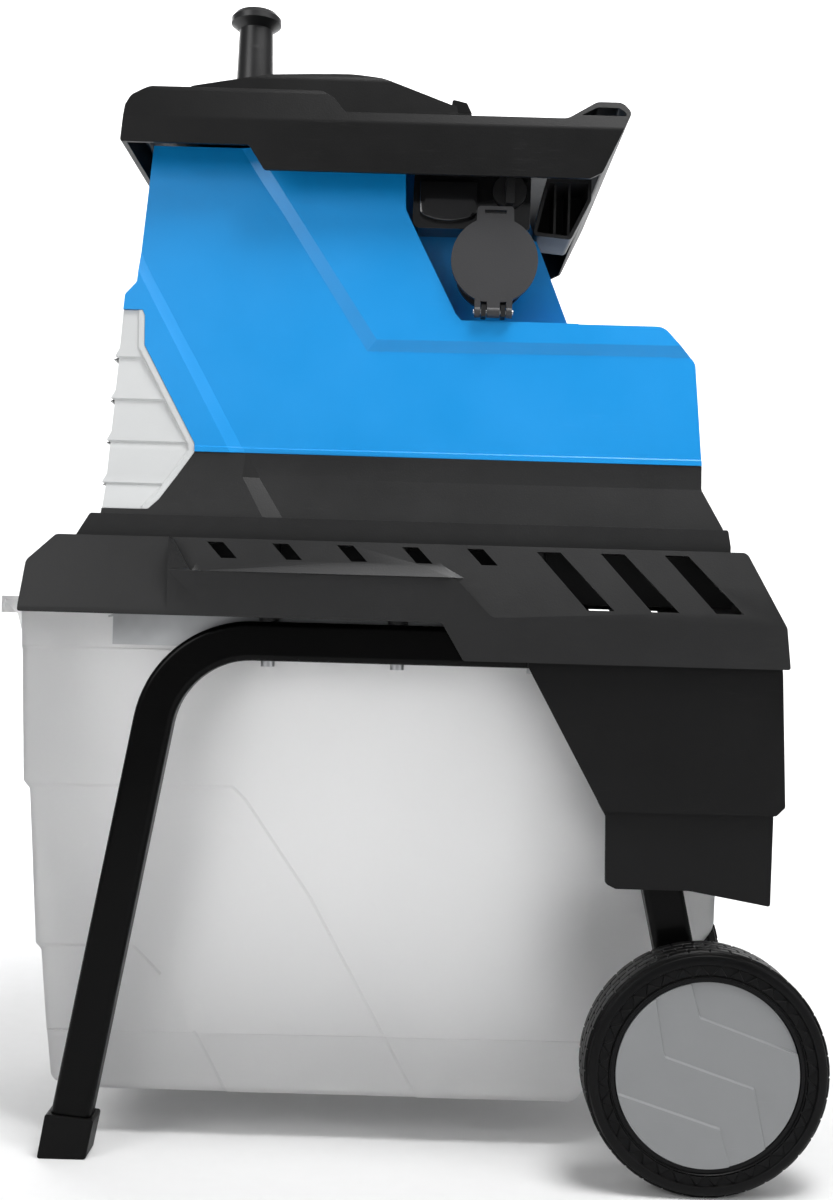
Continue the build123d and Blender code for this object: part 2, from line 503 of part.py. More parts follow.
def make_housing():
    outer = envelope(HOUSING_SIDE, HOUSING_FRONT)
    inner = envelope(HOUSING_SIDE, HOUSING_FRONT, WALL)
    ring = outer - inner
    grille_zone = prism_of(GRILLE_EDGE, 0, -200, 200)
    grille_clear = prism_of(GRILLE_EDGE, JOIN_GAP, -200, 200)
    below_band = block(-400, 400, -200, 200, 400, BAND_TOP_Z)
    above_band = block(-400, 400, -200, 200, BAND_TOP_Z + JOIN_GAP, 900)

    grille = ring & grille_zone
    for i in range(GRILLE_SLOTS):
        lip = GRILLE_LIP_Z - i * GRILLE_PITCH
        grille -= block(-300, GRILLE_X + 16, -128, 128, lip - 5, lip + GRILLE_OPEN)
        top = lip + GRILLE_OPEN + 1
        slat = [(front_x(top) + WALL, top), (front_x(top), top), (front_x(lip) - GRILLE_LIP, lip, 1),
                (front_x(lip) - GRILLE_LIP, lip - 2), (front_x(lip) - 2, lip),
                (front_x(lip) + WALL, lip + 8)]
        grille += across(slat, -131, 131)
    keep("front_grille", grille)

    base = ring & below_band & block(-400, 400, -200, 200, BASE_TOP_Z - 1, 900)
    plinth = across([(-267.5, TRAY_TOP_Z + JOIN_GAP), (-256.5, BASE_TOP_Z, 3), (262, BASE_TOP_Z, 2),
                     (264.4, 505, 2),
                     (264.4, TRAY_TOP_Z + JOIN_GAP)], -168, 168)
    base = base + plinth - (inner & block(-400, 400, -200, 200, TRAY_TOP_Z, 900)) - grille_clear
    well = envelope(HOUSING_SIDE, HOUSING_FRONT, WALL) & block(-400, 400, -200, 200, BASE_TOP_Z, 900)
    base -= well
    base -= block(-240, 250, -155, 155, TRAY_TOP_Z + WALL + 1, BASE_TOP_Z + 5)
    base -= block(DUCT_X[0] - 1, DUCT_X[1] + 1, -DUCT_HALF - 1, DUCT_HALF + 1, 490, 530)
    floor_z = TRAY_TOP_Z + WALL
    for x_low, x_high, y, top in POSTS:
        base += block(x_low, x_high, y - 9, y + 9, floor_z, top)
    keep("motor_base", base)

    pocket = prism_of(POCKET, 0, -200, POCKET_Y)
    pocket_walls = prism_of(POCKET, WALL, -200, POCKET_Y + WALL)
    shell = (outer - pocket) - (inner - pocket_walls)
    shell = (shell & above_band) - grille_clear
    shell -= block(KNOB_X - 9, KNOB_X + 9, 100, 200, DRIVE_Z - 9, DRIVE_Z + 9) & rod_y(100, 200, KNOB_X,
                                                                                       DRIVE_Z, 9)
    shell -= block(THROAT_X[0] - 12, THROAT_X[1] + 12, THROAT_Y[0] - 12, THROAT_Y[1] + 12, NECK_TOP_Z - 8,
                   900)
    shell -= rod_y(-130, -80, INLET_X, INLET_Z, INLET_BARREL + JOIN_GAP)
    keep("shell_left", shell & block(-400, 400, -200, -JOIN_GAP / 2, 400, 900))
    keep("shell_right", shell & block(-400, 400, JOIN_GAP / 2, 200, 400, 900))


def front_x(z):
    """X of the housing's front wall at a height."""
    (low_x, low_z), (high_x, high_z) = HOUSING_SIDE[0], HOUSING_SIDE[1]
    return low_x + (high_x - low_x) * (z - low_z) / (high_z - low_z)


# ---- cutting unit -----------------------------------------------------------------------------------------
KNOB_X = (DRUM_X[0] + DRUM_X[1]) / 2
PLATE_FACE_Y = DRUM_Y + DRUM_RADIUS + PLATE_GAP
CUTTER_Y = (DRUM_Y - DRUM_RADIUS - 14, 82.0)
CUTTER_Z = (DRIVE_Z - 62, DRIVE_Z + 76)
BEARING_RADIUS = 22.0
BEARING_WIDE = 12.0


def make_cutter():
    housing = block(*CUTTER_X, *CUTTER_Y, *CUTTER_Z)
    housing -= block(CUTTER_X[0] + CUTTER_WALL, CUTTER_X[1] - CUTTER_WALL, CUTTER_Y[0] + CUTTER_WALL,
                     CUTTER_Y[1] - CUTTER_WALL, CUTTER_Z[0] - 5, CUTTER_Z[1] + 5)
    roof = block(*CUTTER_X, *CUTTER_Y, CUTTER_Z[1] - 5, CUTTER_Z[1])
    roof -= block(THROAT_X[0], THROAT_X[1], THROAT_Y[0], THROAT_Y[1], 600, 900)
    housing += roof
    bearings = []
    for low in (CUTTER_X[0], CUTTER_X[1] - BEARING_WIDE):
        housing += rod_x(low, low + BEARING_WIDE, DRUM_Y, DRIVE_Z, BEARING_RADIUS + 8)
        housing -= rod_x(low - 5, low + BEARING_WIDE + 5, DRUM_Y, DRIVE_Z, BEARING_RADIUS)
        bearings.append(rod_x(low, low + BEARING_WIDE, DRUM_Y, DRIVE_Z, BEARING_RADIUS)
                        - rod_x(low - 1, low + BEARING_WIDE + 1, DRUM_Y, DRIVE_Z, SHAFT_RADIUS + RUNNING))
    housing -= rod_y(CUTTER_Y[1] - 20, CUTTER_Y[1] + 5, KNOB_X, DRIVE_Z, SCREW_RADIUS + RUNNING)
    keep("cutter_housing", housing)
    keep("drum_bearings", *bearings)

    angle = 360 / DRUM_TEETH
    tooth_points = []
    for i in range(DRUM_TEETH):
        for turn, dip in ((0.0, 0), (0.10, 0), (0.32, 8), (0.92, 11)):
            radius = DRUM_RADIUS - dip
            theta = math.radians((i + turn) * angle)
            tooth_points.append((DRUM_Y + radius * math.cos(theta), DRIVE_Z + radius * math.sin(theta)))
    drum = along(tooth_points, *DRUM_X)
    for i in range(1, 5):
        x = DRUM_X[0] + i * (DRUM_X[1] - DRUM_X[0]) / 5
        drum -= rod_x(x - 2, x + 2, DRUM_Y, DRIVE_Z, 60) - rod_x(x - 3, x + 3, DRUM_Y, DRIVE_Z,
                                                                 DRUM_RADIUS - 6)
    drum += rod_x(CUTTER_X[0] + 1, GEAR_X[1] + COVER_THICK - 2, DRUM_Y, DRIVE_Z, SHAFT_RADIUS)
    keep("cutting_drum", drum)

    plate = block(DRUM_X[0] - 2, DRUM_X[1] + 2, PLATE_FACE_Y, PLATE_FACE_Y + PLATE_THICK, DRIVE_Z - 48,
                  DRIVE_Z + 55)
    boss = rod_y(PLATE_FACE_Y + PLATE_THICK, PLATE_FACE_Y + PLATE_THICK + 14, KNOB_X, DRIVE_Z, 16)
    plate = plate + boss - rod_y(PLATE_FACE_Y + 5, PLATE_FACE_Y + 60, KNOB_X, DRIVE_Z,
                                 SCREW_RADIUS + RUNNING)
    keep("pressure_plate", plate)

    knob_y = (157.0, 184.0)
    screw = rod_y(PLATE_FACE_Y + PLATE_THICK + 1, knob_y[1] - 6, KNOB_X, DRIVE_Z, SCREW_RADIUS)
    screw += rod_y(CUTTER_Y[1] + 0.6, CUTTER_Y[1] + 5, KNOB_X, DRIVE_Z, SCREW_RADIUS + 4)
    keep("adjuster_screw", screw)
    lobes = []
    for i in range(12):
        for turn, radius in ((0.0, 30.0), (0.5, 30.0), (0.62, 28.0), (0.88, 28.0)):
            theta = math.radians((i + turn) * 30)
            lobes.append((KNOB_X + radius * math.cos(theta), DRIVE_Z + radius * math.sin(theta)))
    knob = across(lobes, knob_y[0] + 4, knob_y[1]) + rod_y(knob_y[0], knob_y[0] + 4, KNOB_X, DRIVE_Z, 26)
    knob -= rod_y(knob_y[0] - 1, knob_y[1] - 6, KNOB_X, DRIVE_Z, SCREW_RADIUS)
    keep("adjuster_knob", knob)

    keep("feed_chute", duct(THROAT_X[0] - WALL, THROAT_X[1] + WALL, THROAT_Y[0] - WALL, THROAT_Y[1] + WALL,
                            CUTTER_Z[1] + JOIN_GAP, DECK_Z - 3.8))
    keep("discharge_chute", duct(*DUCT_X, -DUCT_HALF, DUCT_HALF, TRAY_TOP_Z - 30, CUTTER_Z[0] - JOIN_GAP))


def duct(x_low, x_high, y_low, y_high, z_low, z_high):
    """Open square duct with walls of the usual thickness."""
    outer = block(x_low, x_high, y_low, y_high, z_low, z_high)
    return outer - block(x_low + WALL, x_high - WALL, y_low + WALL, y_high - WALL, z_low - 5, z_high + 5)


# ---- gears ------------------------------------------------------------------------------------------------
def pitch_radius(gear):
    return gear["teeth"] * gear["module"] / 2


def polar(centre, radius, degrees):
    return (centre[0] + radius * math.cos(math.radians(degrees)),
            centre[1] + radius * math.sin(math.radians(degrees)))


DRUM_AXIS = (DRUM_Y, DRIVE_Z)
TO_SECOND, TO_FIRST, TO_MOTOR = 20.0, -60.0, 150.0      # directions from each shaft to the next, degrees
SECOND_AXIS = polar(DRUM_AXIS, pitch_radius(DRUM_GEAR) + pitch_radius(SECOND_PINION), TO_SECOND)
FIRST_AXIS = polar(SECOND_AXIS, pitch_radius(SECOND_GEAR) + pitch_radius(FIRST_PINION), TO_FIRST)
MOTOR_AXIS = polar(FIRST_AXIS, pitch_radius(FIRST_GEAR) + pitch_radius(MOTOR_PINION), TO_MOTOR)
BACKLASH = 0.25
ADDENDUM = 0.72
DEDENDUM = 1.05


def gear_outline(gear, centre, tooth_at):
    """Involute tooth outline; one tooth points in the direction tooth_at."""
    teeth, module = gear["teeth"], gear["module"]
    pitch = pitch_radius(gear)
    base = pitch * math.cos(PRESSURE_ANGLE)
    tip, root = pitch + ADDENDUM * module, pitch - DEDENDUM * module

    def involute(radius):
        alpha = math.acos(min(1.0, base / radius))
        return math.tan(alpha) - alpha

    half_pitch = (math.pi * module / 2 - BACKLASH) / (2 * pitch)
    half_base = half_pitch + involute(pitch)
    low = max(base, root)
    flank = [low + (tip - low) * step / 4 for step in range(5)]
    points = []
    for i in range(teeth):
        middle = math.radians(tooth_at) + 2 * math.pi * i / teeth
        spots = [(root, -half_base)] if root < base else []
        spots += [(radius, involute(radius) - half_base) for radius in flank]
        spots += [(radius, half_base - involute(radius)) for radius in reversed(flank)]
        spots += [(root, half_base)] if root < base else []
        points += [(centre[0] + radius * math.cos(middle + turn),
                    centre[1] + radius * math.sin(middle + turn))
                   for radius, turn in spots]
    return points


def gap_towards(gear, direction):
    """Tooth direction that puts a gap where the neighbour's tooth comes in."""
    return direction + 180 + 180 / gear["teeth"]


def make_gears():
    low = GEAR_X[0] + 8
    drum_gear = along(gear_outline(DRUM_GEAR, DRUM_AXIS, TO_SECOND), low, low + 22)
    drum_gear -= rod_x(low - 1, low + 23, *DRUM_AXIS, SHAFT_RADIUS)
    keep("drum_gear", drum_gear)

    second = along(gear_outline(SECOND_PINION, SECOND_AXIS, gap_towards(SECOND_PINION, TO_SECOND)), low,
                   low + 24)
    second += along(gear_outline(SECOND_GEAR, SECOND_AXIS, TO_FIRST), low + 26, low + 42)
    second += rod_x(GEAR_X[0] + 2, GEAR_X[1] + COVER_THICK - 2, *SECOND_AXIS, 6)
    keep("second_gear", second)

    first = along(gear_outline(FIRST_PINION, FIRST_AXIS, gap_towards(FIRST_PINION, TO_FIRST)), low + 25,
                  low + 43)
    first += along(gear_outline(FIRST_GEAR, FIRST_AXIS, TO_MOTOR), low + 46, low + 58)
    first += rod_x(GEAR_X[0] + 2, GEAR_X[1] + COVER_THICK - 2, *FIRST_AXIS, 6)
    keep("first_gear", first)

    motor_low = GEAR_X[1] + COVER_THICK
    shaft_end = motor_low + MOTOR_LENGTH + 30
    rotor = along(gear_outline(MOTOR_PINION, MOTOR_AXIS, gap_towards(MOTOR_PINION, TO_MOTOR)), low + 45,
                  motor_low - 4)
    rotor += rod_x(motor_low - 4.5, shaft_end, *MOTOR_AXIS, MOTOR_SHAFT)
    rotor += rod_x(motor_low + 24, motor_low + 118, *MOTOR_AXIS, ROTOR_RADIUS)
    keep("rotor", rotor)

    y_span, z_span = (-82.0, 106.0), (DRIVE_Z - 64, DRIVE_Z + 68)
    case = block(*GEAR_X, *y_span, *z_span)
    case -= block(GEAR_X[0] + 7, GEAR_X[1] + 1, y_span[0] + 6, y_span[1] - 6, z_span[0] + 6, z_span[1] - 6)
    case -= rod_x(GEAR_X[0] - 1, GEAR_X[0] + 8, *DRUM_AXIS, SHAFT_RADIUS + RUNNING)
    cover = block(GEAR_X[1] + 0.1, motor_low - 0.1, *y_span, *z_span)
    cover -= rod_x(GEAR_X[1] - 1, motor_low + 1, *MOTOR_AXIS, MOTOR_SHAFT + 1)
    cover -= rod_x(GEAR_X[1] - 1, motor_low - 1.5, *DRUM_AXIS, SHAFT_RADIUS + RUNNING)
    for axis in (SECOND_AXIS, FIRST_AXIS):
        case -= rod_x(GEAR_X[0] + 1.5, GEAR_X[0] + 8, *axis, 6 + RUNNING)
        cover -= rod_x(GEAR_X[1] - 1, motor_low - 1.5, *axis, 6 + RUNNING)
    keep("gear_housing", case)
    keep("gear_cover", cover)

    end = motor_low + MOTOR_LENGTH
    can = rod_x(motor_low, end, *MOTOR_AXIS, MOTOR_RADIUS)
    for i in range(24):
        notch = block(motor_low + 8, end - 8, MOTOR_RADIUS - 3, MOTOR_RADIUS + 5, -3, 3)
        notch = notch.moved(Location((0, MOTOR_AXIS[0], MOTOR_AXIS[1])) * Location((0, 0, 0),
                                                                                   (i * 15, 0, 0)))
        can -= notch
    can -= rod_x(motor_low + 8, end - 8, *MOTOR_AXIS, MOTOR_RADIUS - 7)
    bearings = []
    for low_x in (motor_low, end - 8):
        can -= rod_x(low_x - 1, low_x + 9, *MOTOR_AXIS, 17)
        bearings.append(rod_x(low_x, low_x + 8, *MOTOR_AXIS, 17) - rod_x(low_x - 1, low_x + 9, *MOTOR_AXIS,
                                                                         MOTOR_SHAFT + RUNNING))
    keep("motor_housing", can)
    keep("motor_bearings", *bearings)
    stator = rod_x(motor_low + 14, end - 14, *MOTOR_AXIS, MOTOR_RADIUS - 7)
    stator -= rod_x(motor_low + 10, end - 10, *MOTOR_AXIS, ROTOR_RADIUS + 0.6)
    keep("stator", stator)

    fan_low = end + 6
    fan = rod_x(fan_low, fan_low + 20, *MOTOR_AXIS, 14) + rod_x(fan_low, fan_low + 2.5, *MOTOR_AXIS, 50)
    for i in range(9):
        blade = block(fan_low + 2, fan_low + 18, 13, 50, -1.2, 1.2)
        fan += blade.moved(Location((0, MOTOR_AXIS[0], MOTOR_AXIS[1])) * Location((0, 0, 0), (i * 40, 0, 0)))
    fan -= rod_x(fan_low - 1, fan_low + 21, *MOTOR_AXIS, MOTOR_SHAFT)
    keep("motor_fan", fan)
    keep("capacitor", rod_x(70, 160, -100, 600, 24) + rod_x(66, 70, -100, 600, 8))


# ---- hopper -----------------------------------------------------------------------------------------------
HOPPER_SIDE = [(-241, 821, 2), (-238.2, 852, 6), (-234, 861, 8), (-219, RIM_Z, 10), (-79, RIM_Z, 10),
               (-68, 863, 6),
               (-59, DECK_Z + 0.5, 6), (123, DECK_Z + 0.5, 12), (147, 866, 10), (168, 866, 9),
               (175.5, 857, 6),
               (152, 806, 4), (142, 801, 3), (-123, 801, 4), (-136, 821, 4)]
HOPPER_FRONT = symmetric([(HOPPER_HALF, 760), (HOPPER_HALF, 842, 14), (HOPPER_HALF - 8, RIM_Z + 3, 10)])
BRACKET_Y = (-122.0, -70.0)


def make_hopper():
    body = envelope(HOPPER_SIDE, HOPPER_FRONT)
    under = envelope(
        [(-241 + WALL, 700), (-238.2 + WALL, DECK_Z - 3.5, 4), (122, DECK_Z - 3.5, 4), (147, 861, 6),
         (165, 861, 5), (171.5, 856, 4), (150, 806), (150, 700)],
        symmetric([(HOPPER_HALF - WALL, 690), (HOPPER_HALF - WALL, DECK_Z + 5, 5),
                   (HOPPER_HALF - WALL - 2, RIM_Z, 5)]))
    basin = block(-232, -64, -162, 162, DECK_Z, 900)
    shelf = block(-64, 118, -162, 162, DECK_Z, 900)
    hopper = body - under - basin - shelf
    hopper -= block(THROAT_X[0], THROAT_X[1], THROAT_Y[0], THROAT_Y[1], 780, 900)
    keep("hopper", hopper)

    low = DECK_Z + JOIN_GAP
    hood_side = [(-212, low), (-204, 902, 10), (-130, 916), (-62, 920, 40), (-32, 915, 30), (34, 890, 5),
                 (42, low)]
    hood_front = symmetric([(HOOD_HALF + 8, low - 5), (HOOD_HALF, 921, 12)])
    hood = envelope(hood_side, hood_front)
    hood_inner = [(-212 + WALL, low - 5), (-204 + WALL, 902 - WALL, 8), (-130, 916 - WALL),
                  (-62, 920 - WALL, 40),
                  (-32, 915 - WALL, 30), (34 - WALL, 890 - WALL, 4), (42 - WALL, low - 5)]
    hood -= envelope(hood_inner, symmetric([(HOOD_HALF + 8 - WALL, low - 9),
                                            (HOOD_HALF - WALL, 921 - WALL, 10)]))
    hood -= block(THROAT_X[0] + 4, THROAT_X[1] - 4, THROAT_Y[0] + 4, THROAT_Y[1] - 4, 860, 940)
    hood -= block(COLLAR_X[0] - MOVE_GAP, COLLAR_X[1] + MOVE_GAP, -BLADE_HALF - MOVE_GAP,
                  BLADE_HALF + MOVE_GAP, 860,
                  940)
    catch = across([(29, 888), (30, 900, 2), (43, 897, 2), (47.5, 888)], -70, -44)
    hood += catch - envelope(hood_side, hood_front)
    keep("feed_hood", hood)

    bracket = [(111, 815.5), (100, 767, 4), (132.5, 764, 4), (149, 798), (149, 815.5)]
    grip = across(bracket, *BRACKET_Y)
    bay = offset(outline(bracket, UPRIGHT), amount=-WALL, kind=Kind.INTERSECTION)
    web = BRACKET_Y[1] - 2 * WALL
    grip -= extrude(bay.moved(Location((0, web, 0))), amount=web - BRACKET_Y[0] + 1, dir=(0, -1, 0))
    for x in (118.0, 130.0):
        rib = block(x, x + 2, BRACKET_Y[0] + 6, web + 1, 765, 815)
        grip += rib & across(bracket, *BRACKET_Y)
    grip -= envelope(HOUSING_SIDE, HOUSING_FRONT) & block(-400, 400, POCKET_Y - JOIN_GAP, 200, 700, 900)
    keep("grip_bracket", grip)


def make_plunger():
    middle = (THROAT_X[0] + THROAT_X[1]) / 2
    blade = block(*BLADE_X, -BLADE_HALF, BLADE_HALF, BLADE_LOW_Z, DECK_Z + 1)
    blade += block(*COLLAR_X, -BLADE_HALF, BLADE_HALF, DECK_Z + JOIN_GAP, DECK_Z + 12)
    blade += block(PLUNGER_X - 20, PLUNGER_X + 20, -BLADE_HALF, BLADE_HALF, DECK_Z + 11, GRIP_LOW_Z - 1)
    rib_y = 1.8 * BLADE_HALF
    for x in (middle - 30, middle, middle + 30):
        blade += block(x - 1.5, x + 1.5, -rib_y, rib_y, BLADE_LOW_Z + 6, DECK_Z - 2)
    keep("plunger_blade", blade)
    profile = [(0, GRIP_LOW_Z), (STEM_RADIUS + 1, GRIP_LOW_Z), (STEM_RADIUS, 935), (STEM_RADIUS - 1.4, 984),
               (KNOB_RADIUS, 990),
               (KNOB_RADIUS, 995), (KNOB_RADIUS - 4, PLUNGER_TOP_Z - 0.5), (0, PLUNGER_TOP_Z)]
    grip = revolve(outline(profile, UPRIGHT), axis=Axis.Z,
                   revolution_arc=360).moved(Location((PLUNGER_X, 0, 0)))
    keep("plunger_grip", grip)


# ---- controls ---------------------------------------------------------------------------------------------
SWITCH_X = (-2.0, 97.0)
SWITCH_Y = (-132.0, POCKET_Y - JOIN_GAP)
SWITCH_Z = (768.0, 826.0)
START_X, STOP_X, BUTTON_Z = 17.0, 39.0, 795.0
BUTTON_RADIUS = 8.0
SELECTOR_X, SELECTOR_Z = 79.0, 800.0
INLET_X, INLET_Z = 66.9, 736.5
INLET_BARREL = 26.0
LID_RADIUS = 35.8
LID_Y = (-156.0, -150.5)
HINGE_Z = 694.0
HINGE_Y = -152.5
PIN_RADIUS = 2.0
RESET_X, RESET_Y = 88.0, -119.0
POLES = ((-9.5, -3), (9.5, -3), (0, 9))     # contact pins from the inlet's centre


def make_controls():
    box = across([(SWITCH_X[0] + 1, SWITCH_Z[1]), (SWITCH_X[0], SWITCH_Z[0], 6),
                  (SWITCH_X[1], SWITCH_Z[0], 4),
                  (SWITCH_X[1], 812), (SWITCH_X[1] - 12, SWITCH_Z[1])], *SWITCH_Y)
    for x in (START_X, STOP_X):
        box -= rod_y(SWITCH_Y[0] - 5, SWITCH_Y[0] + 12, x, BUTTON_Z, BUTTON_RADIUS + 0.4)
    box -= rod_y(SWITCH_Y[0] - 5, SWITCH_Y[0] + 10, SELECTOR_X, SELECTOR_Z, 5 + RUNNING)
    box -= rod_z(SWITCH_Z[0] - 5, SWITCH_Z[0] + 10, RESET_X, RESET_Y, 5.4)
    keep("switch_housing", box)
    keep("start_button", rod_y(SWITCH_Y[0] - 4, SWITCH_Y[0] + 7, START_X, BUTTON_Z, BUTTON_RADIUS))
    keep("stop_button", rod_y(SWITCH_Y[0] - 5, SWITCH_Y[0] + 7, STOP_X, BUTTON_Z, BUTTON_RADIUS))
    selector = rod_y(SWITCH_Y[0] - 0.6, SWITCH_Y[0] + 9, SELECTOR_X, SELECTOR_Z, 5)
    selector += rod_y(SWITCH_Y[0] - 5, SWITCH_Y[0] - 0.5, SELECTOR_X, SELECTOR_Z, 14)
    selector += block(SELECTOR_X - 3.5, SELECTOR_X + 3.5, SWITCH_Y[0] - 14, SWITCH_Y[0] - 4,
                      SELECTOR_Z - 13, SELECTOR_Z + 13)
    keep("direction_selector", selector)
    keep("reset_button", rod_z(SWITCH_Z[0] - 3.5, SWITCH_Z[0] + 6, RESET_X, RESET_Y, 5))

    flange = rod_y(POCKET_Y - 6, POCKET_Y - JOIN_GAP, INLET_X, INLET_Z, LID_RADIUS - 5)
    barrel = rod_y(-147, POCKET_Y + 14, INLET_X, INLET_Z, INLET_BARREL)
    socket = flange + barrel
    for x in (INLET_X - 10, INLET_X + 6):
        socket += block(x, x + 4, HINGE_Y - 4.5, HINGE_Y + 8, HINGE_Z - 4.5, HINGE_Z + 5)
        socket += block(x, x + 4, LID_Y[1] + MOVE_GAP, HINGE_Y + 8, HINGE_Z + 3, 716)
        socket += block(x, x + 4, LID_Y[1] + MOVE_GAP, POCKET_Y - 2, 706, 716)
    socket -= rod_y(-148, POCKET_Y + 4, INLET_X, INLET_Z, INLET_BARREL - 5)
    socket -= rod_x(INLET_X - 20, INLET_X + 20, HINGE_Y, HINGE_Z, PIN_RADIUS)
    pin_spots = [(INLET_X + dx, INLET_Z + dz) for dx, dz in POLES]
    for x, z in pin_spots:
        socket -= rod_y(POCKET_Y - 1, POCKET_Y + 12, x, z, 2.4)
    keep("inlet_socket", socket)
    keep("inlet_pins", *[rod_y(-136, POCKET_Y + 12, x, z, 2.4) for x, z in pin_spots])

    lid = rod_y(*LID_Y, INLET_X, INLET_Z, LID_RADIUS)
    tab = across([(INLET_X - 15.5, 765), (INLET_X - 15, 781, 3), (INLET_X + 15, 781, 3),
                  (INLET_X + 15.5, 765)], *LID_Y)
    tab -= block(INLET_X - 9, INLET_X + 9, LID_Y[0] - 1, LID_Y[1] + 1, 775, 778)
    lid += tab
    for x in (INLET_X - 15.5, INLET_X - 5.4, INLET_X + 10.6):
        wide = 10.8 if x == INLET_X - 5.4 else 4.9
        lid += block(x, x + wide, LID_Y[0], LID_Y[1], HINGE_Z, 706) + rod_x(x, x + wide, HINGE_Y, HINGE_Z,
                                                                            4.6)
    lid -= rod_x(INLET_X - 20, INLET_X + 20, HINGE_Y, HINGE_Z, PIN_RADIUS + RUNNING)
    lid -= block(INLET_X - 10.6, INLET_X - 5.4, -160, -140, HINGE_Z - 10, 702)
    lid -= block(INLET_X + 5.4, INLET_X + 10.6, -160, -140, HINGE_Z - 10, 702)
    keep("inlet_lid", lid)
    keep("lid_pin", rod_x(INLET_X - 16.5, INLET_X + 16.5, HINGE_Y, HINGE_Z, PIN_RADIUS))


def make_fasteners():
    """Pan-head screws that clamp the two shells and hold the hopper and the base."""
    screws = []
    for x, z in ((-150.0, 740.0), (-60.0, 700.0), (205.0, 600.0), (110.0, 660.0)):
        half = 0.0
        for low, high in zip(HOUSING_FRONT[2:5], HOUSING_FRONT[3:5]):
            if low[1] <= z <= high[1]:
                half = low[0] + (high[0] - low[0]) * (z - low[1]) / (high[1] - low[1])
        screws.append(rod_y(half + 0.4, half + 2.4, x, z, 4.5))
    keep("shell_screws", *screws)


make_frame()
make_feet()
make_wheels()
make_rails()
make_tray()
make_bin_lock()
make_guard()
make_bin()
make_housing()
make_cutter()
make_gears()
make_hopper()
make_plunger()
make_controls()
make_fasteners()

os.makedirs("parts", exist_ok=True)
for name, shape in PARTS.items():
    export_step(shape, "parts/" + name + ".step")
print(len(PARTS), "parts")
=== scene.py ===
"""Garden shredder on a wheeled tube stand: the shapes and finishes of its visible pieces.

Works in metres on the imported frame. X points to the wheels, Y across, Z up. Every piece is an
operator in the Shredder panel, and main() runs them in order.
"""
import json
import math

import bmesh
import bpy
from bpy.props import FloatProperty, FloatVectorProperty, IntProperty, PointerProperty
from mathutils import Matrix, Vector

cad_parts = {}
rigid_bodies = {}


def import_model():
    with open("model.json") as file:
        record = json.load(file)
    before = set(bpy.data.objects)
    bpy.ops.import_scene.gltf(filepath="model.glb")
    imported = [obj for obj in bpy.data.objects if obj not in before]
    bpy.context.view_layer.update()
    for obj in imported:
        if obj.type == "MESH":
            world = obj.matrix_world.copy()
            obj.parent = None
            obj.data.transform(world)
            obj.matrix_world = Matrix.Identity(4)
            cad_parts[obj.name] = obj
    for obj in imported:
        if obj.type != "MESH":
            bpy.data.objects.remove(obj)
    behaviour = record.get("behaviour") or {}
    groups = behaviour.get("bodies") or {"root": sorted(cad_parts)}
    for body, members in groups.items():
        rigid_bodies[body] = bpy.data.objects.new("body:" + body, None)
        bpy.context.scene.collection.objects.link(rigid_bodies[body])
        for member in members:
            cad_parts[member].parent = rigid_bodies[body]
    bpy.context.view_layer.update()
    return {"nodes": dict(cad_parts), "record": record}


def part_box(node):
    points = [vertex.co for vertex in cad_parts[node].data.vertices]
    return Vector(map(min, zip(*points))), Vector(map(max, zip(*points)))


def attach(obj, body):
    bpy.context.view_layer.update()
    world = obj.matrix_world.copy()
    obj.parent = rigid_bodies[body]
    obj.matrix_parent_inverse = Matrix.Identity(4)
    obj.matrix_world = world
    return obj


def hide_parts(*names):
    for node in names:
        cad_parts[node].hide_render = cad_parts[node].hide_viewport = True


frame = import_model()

bl_info = {
    "name": "Garden Shredder",
    "version": (1, 0, 0),
    "blender": (4, 5, 0),
    "location": "View3D > Sidebar > Shredder",
    "description": "Builds the visible pieces and finishes of a garden shredder around its frame",
    "category": "Object",
}

MM = 0.001

# Tolerances: a corner nearer than TOUCH lies on a line, nearer than SAME at a height, and corners nearer
# than WELD are one corner. Folds below FLAT count as flat, and faces bent by more than BENT are split.
TOUCH, SAME, WELD = 1e-6, 1e-5, 2e-5
FLAT, BENT, JOINED = math.radians(0.3), math.radians(0.4), math.radians(0.6)


# ---- places read from the frame ------------------------------------------------------------------
def middle(node):
    low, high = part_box(node)
    return (low + high) / 2


def millimetres(points):
    return [tuple(value * MM for value in point) for point in points]


# ---- modelling helpers ---------------------------------------------------------------------------
def clear():
    """Leave edit mode with nothing selected."""
    if bpy.context.mode != "OBJECT":
        bpy.ops.object.mode_set(mode="OBJECT")
    bpy.ops.object.select_all(action="DESELECT")
    bpy.context.view_layer.objects.active = None


def choose(piece):
    clear()
    piece.select_set(True)
    bpy.context.view_layer.objects.active = piece


def edit(piece, kind="FACE"):
    """Edit mode on one piece with nothing selected in it."""
    choose(piece)
    bpy.ops.object.mode_set(mode="EDIT")
    bpy.ops.mesh.select_mode(type=kind)
    bpy.ops.mesh.select_all(action="DESELECT")


def pick(piece, test, kind="FACE"):
    """In edit mode, select the faces, edges or corners that pass a test; return how many."""
    bpy.ops.mesh.select_mode(type=kind)
    bpy.ops.mesh.select_all(action="DESELECT")
    mesh = bmesh.from_edit_mesh(piece.data)
    mesh.normal_update()
    found = 0
    for part in {"FACE": mesh.faces, "EDGE": mesh.edges, "VERT": mesh.verts}[kind]:
        if test(part):
            part.select_set(True)
            found += 1
    mesh.select_flush_mode()
    bmesh.update_edit_mesh(piece.data)
    return found


def named(name):
    piece = bpy.context.active_object
    piece.name = name
    piece.data.name = name
    return piece


